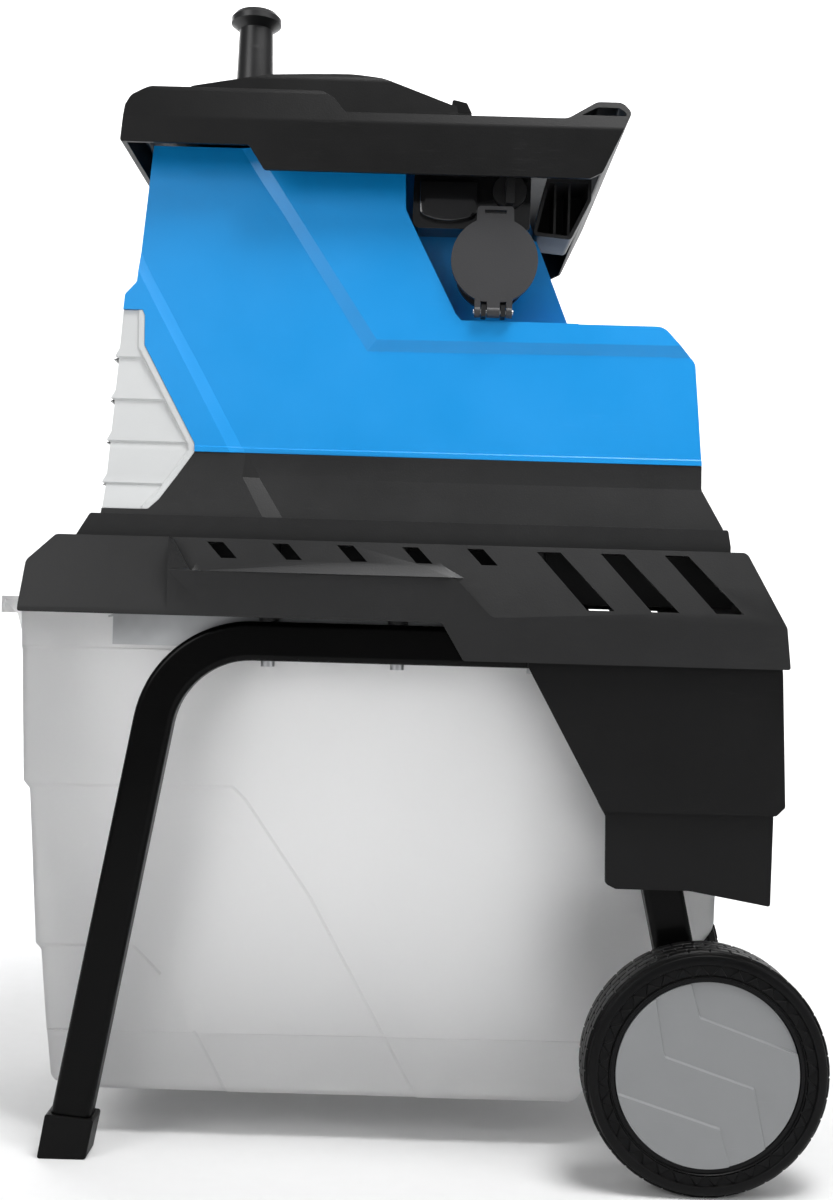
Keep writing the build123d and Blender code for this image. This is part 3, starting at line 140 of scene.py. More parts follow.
def copied(node, name):
    """Editable copy of a CAD piece, with its doubled corners merged and its flat faces joined."""
    choose(frame["nodes"][node])
    bpy.ops.object.duplicate()
    piece = named(name)
    bpy.ops.object.parent_clear(type="CLEAR_KEEP_TRANSFORM")
    for key in list(piece.keys()):
        del piece[key]
    piece.data.materials.clear()
    bpy.ops.mesh.customdata_custom_splitnormals_clear()
    joined_up(piece)
    return piece


def joined_up(piece):
    """Merge doubled corners and join faces that lie in one plane."""
    edit(piece)
    bpy.ops.mesh.select_all(action="SELECT")
    bpy.ops.mesh.remove_doubles(threshold=WELD)
    bpy.ops.mesh.dissolve_limited(angle_limit=JOINED)
    clear()


def drawn(name, corners, place):
    """Flat face made by pulling one corner along an outline and filling it; place maps (a, b) to a point."""
    clear()
    points = [Vector(place(a, b)) for a, b in corners]
    bpy.ops.mesh.primitive_plane_add(size=MM, location=points[0])
    piece = named(name)
    edit(piece, "VERT")
    bpy.ops.mesh.select_all(action="SELECT")
    bpy.ops.mesh.merge(type="CENTER")
    for before, after in zip(points, points[1:]):
        bpy.ops.mesh.extrude_vertices_move(TRANSFORM_OT_translate={"value": after - before})
    bpy.ops.mesh.select_all(action="SELECT")
    bpy.ops.mesh.edge_face_add()
    clear()
    settle(piece)
    return piece


def settle(piece):
    """Put the place into the mesh, so the object sits at the origin."""
    choose(piece)
    bpy.ops.object.transform_apply(location=True, rotation=True, scale=True)


def outward(piece):
    edit(piece)
    bpy.ops.mesh.select_all(action="SELECT")
    bpy.ops.mesh.normals_make_consistent(inside=False)
    clear()


def across(name, corners, y_low, y_high):
    """Prism of an (X, Z) outline between two Y planes."""
    piece = drawn(name, corners, lambda x, z: (x, y_low, z))
    edit(piece)
    bpy.ops.mesh.select_all(action="SELECT")
    bpy.ops.mesh.extrude_region_move(TRANSFORM_OT_translate={"value": (0, y_high - y_low, 0)})
    clear()
    outward(piece)
    return piece


def block(name, low, high):
    clear()
    bpy.ops.mesh.primitive_cube_add(size=1, location=(Vector(low) + Vector(high)) / 2,
                                    scale=Vector(high) - Vector(low))
    piece = named(name)
    settle(piece)
    return piece


def rod(name, centre, radius, length, corners):
    """Cylinder along Y."""
    clear()
    bpy.ops.mesh.primitive_cylinder_add(vertices=corners, radius=radius, depth=length, location=centre,
                                        rotation=(math.pi / 2, 0, 0))
    piece = named(name)
    settle(piece)
    return piece


def spun(name, profile, centre, steps):
    """Closed ring: an outline of (radius, distance along the axis) corners spun about a Y axis."""
    piece = drawn(name, profile, lambda r, y: (centre[0] + r, centre[1] + y, centre[2]))
    edit(piece)
    bpy.ops.mesh.select_all(action="SELECT")
    bpy.ops.mesh.delete(type="ONLY_FACE")
    bpy.ops.mesh.select_mode(type="EDGE")
    bpy.ops.mesh.select_all(action="SELECT")
    bpy.ops.mesh.spin(steps=steps, angle=2 * math.pi, center=centre, axis=(0, 1, 0), use_auto_merge=True)
    bpy.ops.mesh.select_all(action="SELECT")
    bpy.ops.mesh.remove_doubles(threshold=SAME)
    bpy.ops.mesh.normals_make_consistent(inside=False)
    clear()
    return piece


def merged(name, pieces):
    """Join pieces into one object."""
    clear()
    for piece in pieces:
        piece.select_set(True)
    bpy.context.view_layer.objects.active = pieces[0]
    bpy.ops.object.join()
    return named(name)


def softened(piece, width, segments, angle):
    """Round every fold sharper than an angle in degrees, as a mould does, and shade the rest smoothly."""
    choose(piece)
    modifier = piece.modifiers.new("soft edge", "BEVEL")
    modifier.width = width
    modifier.segments = segments
    modifier.limit_method = "ANGLE"
    modifier.angle_limit = math.radians(angle)
    modifier.miter_outer = "MITER_SHARP"
    bpy.ops.object.modifier_apply(modifier=modifier.name)
    shaded(piece)


def shaded(piece):
    """Smooth shading that keeps flat faces flat."""
    choose(piece)
    bpy.ops.object.shade_smooth_by_angle(angle=math.radians(32))
    modifier = piece.modifiers.new("flat faces", "WEIGHTED_NORMAL")
    modifier.mode = "FACE_AREA"
    modifier.weight = 80
    modifier.keep_sharp = True
    bpy.ops.object.modifier_apply(modifier=modifier.name)


def rounded(piece, test, width, segments):
    """Bevel the edges that pass a test."""
    edit(piece, "EDGE")
    if pick(piece, test, "EDGE"):
        bpy.ops.mesh.bevel(offset=width, segments=segments, affect="EDGES", clamp_overlap=True,
                           miter_outer="ARC")
    clear()


def scored(piece, side, line, test=None):
    """Cut a side wall along the straight lines through an (X, Z) polyline."""
    for (x0, z0), (x1, z1) in zip(line, line[1:]):
        edit(piece)
        if pick(piece, lambda f: f.normal.y * side > 0.75 and (test is None or test(f))):
            bpy.ops.mesh.bisect(plane_co=(x0, 0, z0), plane_no=(z1 - z0, 0, x0 - x1), threshold=TOUCH)
    clear()


def beyond(x, z, line):
    """Distance from a polyline, positive to its left when walked from its first corner."""
    best, sign = math.inf, 1.0
    for (x0, z0), (x1, z1) in zip(line, line[1:]):
        span = Vector((x1 - x0, z1 - z0))
        t = max(0.0, min(1.0, (Vector((x - x0, z - z0))).dot(span) / span.length_squared))
        near = Vector((x0, z0)) + t * span
        gap = (Vector((x, z)) - near).length
        if gap < best - 1e-9:
            best = gap
            sign = math.copysign(1.0, span.x * (z - z0) - span.y * (x - x0))
    return best * sign


def left_of(corner, line):
    """Whether a corner is on a polyline or to its left."""
    return beyond(corner.co.x, corner.co.z, line) > -TOUCH


def right_of(corner, line):
    """Whether a corner is on a polyline or to its right."""
    return beyond(corner.co.x, corner.co.z, line) < TOUCH


def sunk(piece, side, upper, lower, depth, outer):
    """Sink the part of a side wall left of the line `upper`; the wall slopes between `lower` and `upper`."""
    scored(piece, side, lower)
    scored(piece, side, upper)
    shifted(piece, side, -depth, lambda v: v.co.y * side > outer and left_of(v, upper))


def beside(line, gap):
    """Polyline parallel to another one, a gap to its left."""
    moved = []
    for index, point in enumerate(line):
        here = Vector(point)
        legs = [here - Vector(line[max(index - 1, 0)]), Vector(line[min(index + 1, len(line) - 1)]) - here]
        lefts = [Vector((-leg.y, leg.x)).normalized() for leg in legs if leg.length]
        mean = sum(lefts, Vector((0, 0))).normalized()
        moved.append(tuple(here + mean * gap / mean.dot(lefts[0])))
    return moved


def shifted(piece, side, distance, test):
    """Move the corners that pass a test out of a side wall."""
    edit(piece, "VERT")
    if pick(piece, test, "VERT"):
        bpy.ops.transform.translate(value=(0, side * distance, 0))
    clear()


def tidied(piece, lines):
    """Take away the flat edges that scoring left beyond the ends of the lines."""
    edit(piece, "EDGE")
    if pick(piece, lambda e: len(e.link_faces) == 2 and e.calc_face_angle(1) < FLAT and all(
            abs(beyond(*((e.verts[0].co + e.verts[1].co) / 2).xz, line)) > WELD for line in lines), "EDGE"):
        bpy.ops.mesh.dissolve_edges(use_verts=True)
    clear()


def level(z):
    """Level line at a height, walked towards +X and longer than any piece."""
    return [(-400 * MM, z), (400 * MM, z)]


def flattened(piece):
    """Split the faces that a move has bent."""
    edit(piece)
    bpy.ops.mesh.select_all(action="SELECT")
    bpy.ops.mesh.vert_connect_nonplanar(angle_limit=BENT)
    clear()


def finished(piece, body, finish, slot, *nodes):
    """Give a piece its finish, its body and the CAD pieces it stands for."""
    if not piece.data.materials:
        piece.data.materials.append(finish)
    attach(piece, body)
    if nodes:
        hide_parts(*nodes)


# ---- shader node groups --------------------------------------------------------------------------
def add(tree, kind, inputs=None, **settings):
    """New node; inputs maps a socket's name or number to a value or to another node's output."""
    new = tree.nodes.new(kind)
    for key, value in settings.items():
        setattr(new, key, value)
    for key, value in (inputs or {}).items():
        if isinstance(value, bpy.types.NodeSocket):
            tree.links.new(value, new.inputs[key])
        else:
            new.inputs[key].default_value = value
    return new


def group(name, sockets_in, sockets_out):
    """Empty shader group with named inputs (name, kind, default) and outputs (name, kind)."""
    tree = bpy.data.node_groups.new(name, "ShaderNodeTree")
    for label, kind, default in sockets_in:
        socket = tree.interface.new_socket(label, in_out="INPUT", socket_type=kind)
        if default is not None:
            socket.default_value = default
    for label, kind in sockets_out:
        tree.interface.new_socket(label, in_out="OUTPUT", socket_type=kind)
    return tree, tree.nodes.new("NodeGroupInput").outputs, tree.nodes.new("NodeGroupOutput").inputs


FLOAT, VECTOR = "NodeSocketFloat", "NodeSocketVector"


def grain_group():
    """Spark-eroded mould grain: fine pits, and broad drifts of tone."""
    tree, given, out = group("Moulded grain", [("Place", VECTOR, None), ("Scale", FLOAT, 900.0)],
                             [("Height", FLOAT), ("Drift", FLOAT)])
    pits = add(tree, "ShaderNodeTexVoronoi", {"Vector": given["Place"], "Scale": given["Scale"]},
               feature="SMOOTH_F1")
    fine = add(tree, "ShaderNodeTexNoise", {"Vector": given["Place"], "Scale": given["Scale"],
                                            "Detail": 3.0})
    mixed = add(tree, "ShaderNodeMath", {0: pits.outputs["Distance"], 1: fine.outputs["Fac"]},
                operation="ADD")
    broad = add(tree, "ShaderNodeTexNoise", {"Vector": given["Place"], "Scale": 9.0, "Detail": 4.0,
                                             "Roughness": 0.6})
    drift = add(tree, "ShaderNodeMapRange", {"Value": broad.outputs["Fac"], "From Min": 0.3,
                                             "From Max": 0.7})
    tree.links.new(mixed.outputs[0], out["Height"])
    tree.links.new(drift.outputs["Result"], out["Drift"])
    return tree


def scuff_group():
    """Faint handling scratches that run mostly along the piece."""
    tree, given, out = group("Handling scuffs", [("Place", VECTOR, None), ("Amount", FLOAT, 0.5)],
                             [("Mask", FLOAT)])
    along = add(tree, "ShaderNodeMapping", {"Vector": given["Place"], "Scale": (14.0, 90.0, 260.0),
                                            "Rotation": (0.3, 0.5, 0.2)})
    lines = add(tree, "ShaderNodeTexNoise", {"Vector": along.outputs[0], "Scale": 3.0, "Detail": 5.0,
                                             "Roughness": 0.65})
    patch = add(tree, "ShaderNodeTexNoise", {"Vector": given["Place"], "Scale": 14.0, "Detail": 2.0})
    sharp = add(tree, "ShaderNodeMapRange", {"Value": lines.outputs["Fac"], "From Min": 0.58,
                                             "From Max": 0.74})
    where = add(tree, "ShaderNodeMapRange", {"Value": patch.outputs["Fac"], "From Min": 0.48,
                                             "From Max": 0.68})
    both = add(tree, "ShaderNodeMath", {0: sharp.outputs["Result"], 1: where.outputs["Result"]},
               operation="MULTIPLY")
    scaled = add(tree, "ShaderNodeMath", {0: both.outputs[0], 1: given["Amount"]}, operation="MULTIPLY")
    tree.links.new(scaled.outputs[0], out["Mask"])
    return tree


def dust_group():
    """Light dust that settles on faces that look up."""
    tree, given, out = group("Settled dust", [("Place", VECTOR, None), ("Amount", FLOAT, 0.3)],
                             [("Mask", FLOAT)])
    facing = add(tree, "ShaderNodeSeparateXYZ", {0: add(tree, "ShaderNodeNewGeometry").outputs["Normal"]})
    upper = add(tree, "ShaderNodeMapRange", {"Value": facing.outputs["Z"], "From Min": 0.45,
                                             "From Max": 1.0})
    spots = add(tree, "ShaderNodeTexNoise", {"Vector": given["Place"], "Scale": 38.0, "Detail": 6.0,
                                             "Roughness": 0.7})
    spread = add(tree, "ShaderNodeMapRange", {"Value": spots.outputs["Fac"], "From Min": 0.4,
                                              "From Max": 0.75})
    both = add(tree, "ShaderNodeMath", {0: upper.outputs["Result"], 1: spread.outputs["Result"]},
               operation="MULTIPLY")
    scaled = add(tree, "ShaderNodeMath", {0: both.outputs[0], 1: given["Amount"]}, operation="MULTIPLY")
    tree.links.new(scaled.outputs[0], out["Mask"])
    return tree


GROUPS = {}


def shared(name):
    """Shader group by name, built at its first use."""
    makers = {"grain": grain_group, "scuffs": scuff_group, "dust": dust_group}
    if name not in GROUPS:
        GROUPS[name] = makers[name]()
    return GROUPS[name]


def use(tree, name, inputs):
    return add(tree, "ShaderNodeGroup", inputs, node_tree=shared(name))


# ---- finishes ------------------------------------------------------------------------------------
DUST_COLOUR = (0.42, 0.39, 0.34, 1)
RUB_GAIN, RUB_LIFT = 1.25, 0.02
GLOSS_SPREAD = (0.9, 1.12)
BUMP_DEPTH = 0.4 * MM


def finish(name, colour, rough, grain, relief, drift, scuffs, dust, sockets):
    """Finish built of grain, scuffs and dust; sockets maps the shader's other sockets to values."""
    material = bpy.data.materials.new(name)
    material.use_nodes = True
    tree = material.node_tree
    shader = tree.nodes["Principled BSDF"]
    place = add(tree, "ShaderNodeTexCoord").outputs["Object"]
    mould = use(tree, "grain", {"Place": place, "Scale": grain})
    marks = use(tree, "scuffs", {"Place": place, "Amount": scuffs})
    settled = use(tree, "dust", {"Place": place, "Amount": dust})
    dark = [value * (1 - drift) for value in colour]
    light = [min(1.0, value * (1 + drift) + 0.15 * drift * max(colour)) for value in colour]
    tone = add(tree, "ShaderNodeMix", {"Factor": mould.outputs["Drift"], 6: (*dark, 1), 7: (*light, 1)},
               data_type="RGBA")
    worn = [min(1.0, value * RUB_GAIN + RUB_LIFT) for value in colour]
    rubbed = add(tree, "ShaderNodeMix", {"Factor": marks.outputs["Mask"], 6: tone.outputs[2], 7: (*worn, 1)},
                 data_type="RGBA")
    dusty = add(tree, "ShaderNodeMix", {"Factor": settled.outputs["Mask"], 6: rubbed.outputs[2],
                                        7: DUST_COLOUR}, data_type="RGBA")
    tree.links.new(dusty.outputs[2], shader.inputs["Base Color"])
    gloss = add(tree, "ShaderNodeMapRange", {"Value": mould.outputs["Drift"],
                                             "To Min": rough * GLOSS_SPREAD[0],
                                             "To Max": rough * GLOSS_SPREAD[1]})
    marked = add(tree, "ShaderNodeMath", {0: gloss.outputs["Result"], 1: marks.outputs["Mask"]},
                 operation="ADD")
    whole = add(tree, "ShaderNodeMath", {0: marked.outputs[0], 1: settled.outputs["Mask"]}, operation="ADD",
                use_clamp=True)
    tree.links.new(whole.outputs[0], shader.inputs["Roughness"])
    bump = add(tree, "ShaderNodeBump", {"Strength": relief, "Distance": BUMP_DEPTH,
                                        "Height": mould.outputs["Height"]})
    tree.links.new(bump.outputs["Normal"], shader.inputs["Normal"])
    for key, value in sockets.items():
        shader.inputs[key].default_value = value
    return material


METAL = {"Metallic": 1.0}
# Painted shade: the share of the black plastic's colour kept for the pieces out of the light.
DEEP_SHADE = 0.4
# Finishes by record slot: name, colour or the name of a colour property, roughness, grain scale, relief,
# drift, scuffs, dust, and the shader's other sockets. The darkened copy of the black plastic is painted
# shade, for the pieces out of the light.
RECIPES = {
    "tube_black": ("Black gloss paint", (0.001, 0.001, 0.001), 0.3, 320, 0.03, 0.1, 0.15, 0.03,
                   {"Specular IOR Level": 0.08, "Coat Weight": 0.05, "Coat Roughness": 0.1}),
    "zinc": ("Zinc plate", (0.62, 0.63, 0.64), 0.32, 700, 0.05, 0.12, 0.8, 0.0, METAL),
    "steel": ("Bright steel", (0.56, 0.56, 0.57), 0.28, 600, 0.04, 0.08, 0.8, 0.0, METAL),
    "tool_steel": ("Ground tool steel", (0.36, 0.36, 0.37), 0.34, 500, 0.06, 0.12, 1.0, 0.0, METAL),
    "rail_steel": ("Rolled galvanised strip", (0.6, 0.61, 0.62), 0.4, 160, 0.05, 0.2, 0.8, 0.05, METAL),
    "foot_rubber": ("Boot rubber", (0.003, 0.003, 0.003), 0.45, 700, 0.1, 0.15, 0.2, 0.02,
                    {"Specular IOR Level": 0.12}),
    "tyre": ("Tyre plastic", (0.003, 0.003, 0.0032), 0.38, 600, 0.1, 0.14, 0.2, 0.02,
             {"Specular IOR Level": 0.13}),
    "rim_plastic": ("Rim plastic", (0.004, 0.004, 0.0045), 0.34, 800, 0.06, 0.1, 0.2, 0.02,
                    {"Specular IOR Level": 0.15}),
    "hub_grey": ("Satin grey hub", (0.235, 0.24, 0.245), 0.34, 1100, 0.06, 0.04, 0.4, 0.06, {}),
    "body_blue": ("Blue cover plastic", "cover", 0.36, 700, 0.035, 0.035, 0.2, 0.04,
                  {"Coat Weight": 0.12, "Coat Roughness": 0.2}),
    "body_black": ("Grained black plastic", "black", 0.45, 760, 0.11, 0.1, 0.4, 0.06,
                   {"Specular IOR Level": 0.36}),
    "deep_black": ("Deep black plastic", "black", 0.4, 760, 0.1, 0.1, 0.3, 0.04,
                   {"Specular IOR Level": 0.2}),
    "grille_grey": ("Pale grille plastic", "grille", 0.44, 900, 0.04, 0.02, 0.2, 0.05, {}),
    "bin_white": ("Milky bin plastic", "bin", 0.4, 500, 0.05, 0.02, 0.25, 0.04,
                  {"IOR": 1.49, "Transmission Weight": 0.8}),
    "switch_black": ("Gloss switch plastic", (0.009, 0.009, 0.0095), 0.16, 500, 0.02, 0.1, 0.2, 0.04,
                     {"Coat Weight": 0.4, "Coat Roughness": 0.06}),
    "button_green": ("Green button", (0.02, 0.24, 0.06), 0.3, 900, 0.03, 0.05, 0.3, 0.0, {}),
    "button_red": ("Red button", (0.5, 0.012, 0.01), 0.3, 900, 0.03, 0.05, 0.3, 0.0, {}),
    "lid_grey": ("Matt lid plastic", (0.034, 0.034, 0.036), 0.5, 820, 0.1, 0.06, 0.3, 0.05, {}),
    "socket_black": ("Socket plastic", (0.01, 0.01, 0.0105), 0.36, 700, 0.05, 0.1, 0.3, 0.03, {}),
    "brass": ("Plated brass", (0.62, 0.5, 0.28), 0.25, 500, 0.03, 0.1, 0.5, 0.0, METAL),
    "cast_alloy": ("Cast alloy", (0.42, 0.42, 0.43), 0.46, 260, 0.25, 0.12, 0.5, 0.05, {"Metallic": 0.9}),
    "lamination": ("Laminated steel", (0.2, 0.19, 0.18), 0.45, 300, 0.2, 0.2, 0.5, 0.05, {"Metallic": 0.8}),
    "fan_plastic": ("Fan plastic", (0.02, 0.02, 0.02), 0.4, 800, 0.06, 0.1, 0.3, 0.05, {}),
    "capacitor_grey": ("Capacitor can", (0.5, 0.51, 0.52), 0.38, 600, 0.04, 0.08, 0.3, 0.05, {}),
    "lock_red": ("Red lock plastic", (0.42, 0.012, 0.01), 0.38, 800, 0.06, 0.08, 0.5, 0.05, {}),
    "knob_black": ("Knob plastic", (0.012, 0.012, 0.0125), 0.42, 760, 0.12, 0.1, 0.5, 0.06, {}),
    "plunger_black": ("Plunger plastic", (0.011, 0.011, 0.0115), 0.36, 620, 0.09, 0.1, 0.5, 0.04, {}),
}
FINISHES = {}


def look(slot):
    """Finish of a record slot, built at its first use."""
    if slot not in FINISHES:
        name, colour, *values = RECIPES[slot]
        if isinstance(colour, str):
            colour = tuple(getattr(bpy.context.scene.shredder_colours, colour))
        # Painted shade: the black plastic is darkened here for the pieces out of the light.
        if slot == "deep_black":
            colour = [value * DEEP_SHADE for value in colour]
        FINISHES[slot] = finish(name, colour, *values)
    return FINISHES[slot]


# ---- properties ----------------------------------------------------------------------------------
class ShredderColours(bpy.types.PropertyGroup):
    """Colours of the main finishes"""
    cover: FloatVectorProperty(
        name="Cover", description="Coloured plastic of the motor covers", subtype="COLOR", size=3, min=0,
        max=1, default=(0.001, 0.285, 0.72))
    black: FloatVectorProperty(
        name="Black plastic", description="Grained plastic of the tray, guard and hopper", subtype="COLOR",
        size=3, min=0, max=1, default=(0.0145, 0.0145, 0.0148))
    grille: FloatVectorProperty(
        name="Grille", description="Pale plastic of the front grille", subtype="COLOR", size=3, min=0, max=1,
        default=(0.60, 0.61, 0.61))
    bin: FloatVectorProperty(
        name="Bin", description="Milky plastic of the collection bin", subtype="COLOR", size=3, min=0, max=1,
        default=(0.93, 0.93, 0.93))


class ShredderSizes(bpy.types.PropertyGroup):
    """Sizes of the moulded detail"""
    edge_round: FloatProperty(
        name="Edge rounding", description="Rounding of moulded edges", unit="LENGTH", default=1.1 * MM,
        min=0.2 * MM, max=3 * MM)
    cover_relief: FloatProperty(
        name="Cover relief", description="Depth of the sunk field on the covers", unit="LENGTH",
        default=2.2 * MM, min=0, max=2.6 * MM)
    bin_relief: FloatProperty(
        name="Bin relief", description="Depth of the steps in the bin's sides", unit="LENGTH",
        default=1.5 * MM, min=0, max=2 * MM)
    tread_height: FloatProperty(
        name="Tread height", description="Height of the blocks on the tyre", unit="LENGTH",
        default=1.3 * MM, min=0, max=3 * MM)
    wheel_parts: IntProperty(
        name="Tyre divisions", description="Divisions round the tyre, a multiple of four", default=72,
        min=24, max=144)


# ---- stage ---------------------------------------------------------------------------------------
FLOOR_HALF, FLOOR_NEAR, FLOOR_FAR, FLOOR_DEEP = 3.2, -2.6, 3.2, 0.02
WALL_DEEP, WALL_HIGH, SWEEP_ROUND = 0.6, 5.0, 1.2
TARGET = Vector((0.0, 0.0, 0.5))
WALL_SPOT = Vector((0.0, 4.4, 0.9))
LIGHTS = (  # name, place, aim, size, watts
    ("key_light", (-1.7, -2.1, 1.6), TARGET, 1.3, 24.0),
    ("side_light", (2.3, -1.3, 1.2), TARGET, 1.3, 14.0),
    ("top_light", (0.5, -0.75, 2.4), TARGET, 0.9, 44.0),
    ("back_light", (-1.6, 2.0, 1.7), TARGET, 1.4, 14.0),
    ("sweep_light", (0.0, 1.7, 2.9), WALL_SPOT, 3.0, 120.0))
ROOM_LIGHT = 0.24
CAMERA_PLACE = (0.011, -1.328, 0.437)
CAMERA_TURN = (math.radians(90.88), math.radians(-1.6), 0)
LENS, SENSOR = 42.9, 36.0


class SHREDDER_OT_stage(bpy.types.Operator):
    """Add the floor sweep, the soft lights and the camera"""
    bl_idname = "shredder.stage"
    bl_label = "Stage"

    def execute(self, context):
        floor = across("floor_sweep", [(-FLOOR_HALF, -FLOOR_DEEP), (FLOOR_HALF, -FLOOR_DEEP),
                                       (FLOOR_HALF, 0.0), (-FLOOR_HALF, 0.0)], FLOOR_NEAR, FLOOR_FAR)
        edit(floor)
        pick(floor, lambda f: f.normal.y > 0.9)
        bpy.ops.mesh.extrude_region_move(TRANSFORM_OT_translate={"value": (0, WALL_DEEP, 0)})
        pick(floor, lambda f: f.normal.z > 0.9 and f.calc_center_median().y > FLOOR_FAR)
        bpy.ops.mesh.extrude_region_move(TRANSFORM_OT_translate={"value": (0, 0, WALL_HIGH)})
        clear()
        rounded(floor, lambda e: all(abs(v.co.y - FLOOR_FAR) < 10 * MM and abs(v.co.z) < 10 * MM
                                     for v in e.verts), SWEEP_ROUND, 16)
        choose(floor)
        bpy.ops.object.shade_smooth_by_angle(angle=math.radians(40))
        paper = bpy.data.materials.new("Pale paper")
        paper.use_nodes = True
        tree = paper.node_tree
        fibre = add(tree, "ShaderNodeTexNoise", {"Vector": add(tree, "ShaderNodeTexCoord").outputs["Object"],
                                                 "Scale": 60.0, "Detail": 4.0})
        tone = add(tree, "ShaderNodeMapRange", {"Value": fibre.outputs["Fac"], "To Min": 0.84,
                                                "To Max": 0.87})
        shader = tree.nodes["Principled BSDF"]
        tree.links.new(tone.outputs["Result"], shader.inputs["Base Color"])
        shader.inputs["Roughness"].default_value = 0.75
        shader.inputs["Specular IOR Level"].default_value = 0.2
        floor.data.materials.append(paper)

        world = bpy.data.worlds.new("Soft room")
        context.scene.world = world
        world.use_nodes = True
        tree = world.node_tree
        seen = add(tree, "ShaderNodeLightPath").outputs["Is Camera Ray"]
        strength = add(tree, "ShaderNodeMapRange", {"Value": seen, "To Min": ROOM_LIGHT, "To Max": 1.0})
        tree.nodes["Background"].inputs["Color"].default_value = (0.97, 0.98, 1.0, 1)
        tree.links.new(strength.outputs["Result"], tree.nodes["Background"].inputs["Strength"])
        for name, place, aim, size, power in LIGHTS:
            clear()
            bpy.ops.object.light_add(type="AREA", location=place)
            lamp = bpy.context.active_object
            lamp.name = name
            lamp.data.size = size
            lamp.data.energy = power
            lamp.rotation_euler = (aim - Vector(place)).to_track_quat("-Z", "Y").to_euler()

        clear()
        bpy.ops.object.camera_add(location=CAMERA_PLACE, rotation=CAMERA_TURN)
        camera = bpy.context.active_object
        camera.data.sensor_width = SENSOR
        camera.data.lens = LENS
        context.scene.camera = camera
        context.scene.view_settings.view_transform = "Standard"
        return {"FINISHED"}


# ---- wheels --------------------------------------------------------------------------------------
TREAD_ROWS, TREAD_ROW, TREAD_GROOVE, TREAD_FACE = 4, 9 * MM, 0.9 * MM, 5e-5
TREAD_EDGE, TREAD_STEP = 5 * MM, 0.8 * MM
BORE_IN, RIM_ROUND, RING_EDGES = 20 * MM, 1 * MM, (10 * MM, 11.5 * MM)
SHOULDER = 6 * MM, 3.2 * MM, 1.2 * MM
RING_INNER, RING_OUTER, RING_MIDDLE, RING_FACE = 1.5 * MM, 9.5 * MM, 5.4 * MM, 2e-5
RING_BORDER, RING_DEPTH, TOOTH_GAP, TOOTH_RISE = 0.7 * MM, 2.0 * MM, 0.5 * MM, 1.7 * MM
HUB_LEDGES = ([(-90, -22), (-68.7, -14.8), (9.9, -39.4), (16.8, -68.4), (22, -90)],
              [(-46, 90), (-38.6, 41.6), (-33.2, 14.1), (35.9, -8.6), (45.3, -52.5), (53, -90)],
              [(-19, 90), (-13.5, 68.3), (-7.2, 44.7), (66.6, 18.8), (90, 10.6)])
HUB_SLOPE, HUB_RISE = (0.5, 1.5), 1.3 * MM


def from_axis(face, centre):
    """Distance of a face's middle from the wheel's axis."""
    spot = face.calc_center_median() - centre
    return math.hypot(spot.x, spot.z)


def division_of(face, centre, steps):
    """Number of the tyre's division that a face is in, counted round the axis."""
    spot = face.calc_center_median() - centre
    return round(math.atan2(spot.z, spot.x) / (2 * math.pi / steps) - 0.5) % steps


def tread_blocks(tyre, centre, steps, crown, height):
    """Raise staggered blocks on the tyre's crown, in four rows."""
    def row_of(face):
        return math.floor((face.calc_center_median().y - centre.y) / TREAD_ROW + TREAD_ROWS / 2)

    for row in range(TREAD_ROWS):
        for start in (0, 2):
            edit(tyre)
            shift = start + row % 2
            pick(tyre, lambda f: len(f.verts) == 4 and row_of(f) == row
                 and from_axis(f, centre) > crown - TREAD_STEP and abs(f.normal.y) < 0.5
                 and f.calc_area() > TREAD_FACE and (division_of(f, centre, steps) - shift) % 4 < 2)
            bpy.ops.mesh.inset(thickness=TREAD_GROOVE, depth=height)
            clear()


class SHREDDER_OT_wheels(bpy.types.Operator):
    """Build both tyres with their tread and moulded ring, and both hub caps"""
    bl_idname = "shredder.wheels"
    bl_label = "Wheels"

    def execute(self, context):
        sizes = context.scene.shredder_sizes
        steps = sizes.wheel_parts
        for side, name in ((-1, "left"), (1, "right")):
            low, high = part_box("tyre_" + name)
            centre = (low + high) / 2
            radius, half = (high.x - low.x) / 2, (high.y - low.y) / 2
            crown = radius - sizes.tread_height
            bore = radius - BORE_IN
            ring, ring_end = bore + RING_EDGES[0], bore + RING_EDGES[1]
            flat, bend, drop = SHOULDER
            row = (half * 2 - TREAD_EDGE * 2) / TREAD_ROWS
            profile = [(bore, -half + RIM_ROUND), (bore + RIM_ROUND, -half), (ring, -half),
                       (ring_end, -half), (radius - flat, -half), (radius - bend, -half + drop),
                       (crown - TREAD_STEP, -half + TREAD_EDGE)]
            profile += [(crown, -half + TREAD_EDGE + step * row) for step in range(TREAD_ROWS + 1)]
            profile += [(crown - TREAD_STEP, half - TREAD_EDGE), (radius - bend, half - drop),
                        (radius - flat, half), (ring_end, half), (ring, half), (bore + RIM_ROUND, half),
                        (bore, half - RIM_ROUND)]
            tyre = spun("tyre_tread_" + name, profile, centre, steps)
            tread_blocks(tyre, centre, steps, crown, sizes.tread_height)
            moulded_ring(tyre, centre, steps, bore)
            softened(tyre, 0.35 * MM, 1, 40)
            finished(tyre, "wheel_" + name, look("tyre"), "tyre", "tyre_" + name)
            hub_cap(name, side)
            frame["nodes"]["rim_" + name].data.materials[0] = look("rim_plastic")
        return {"FINISHED"}


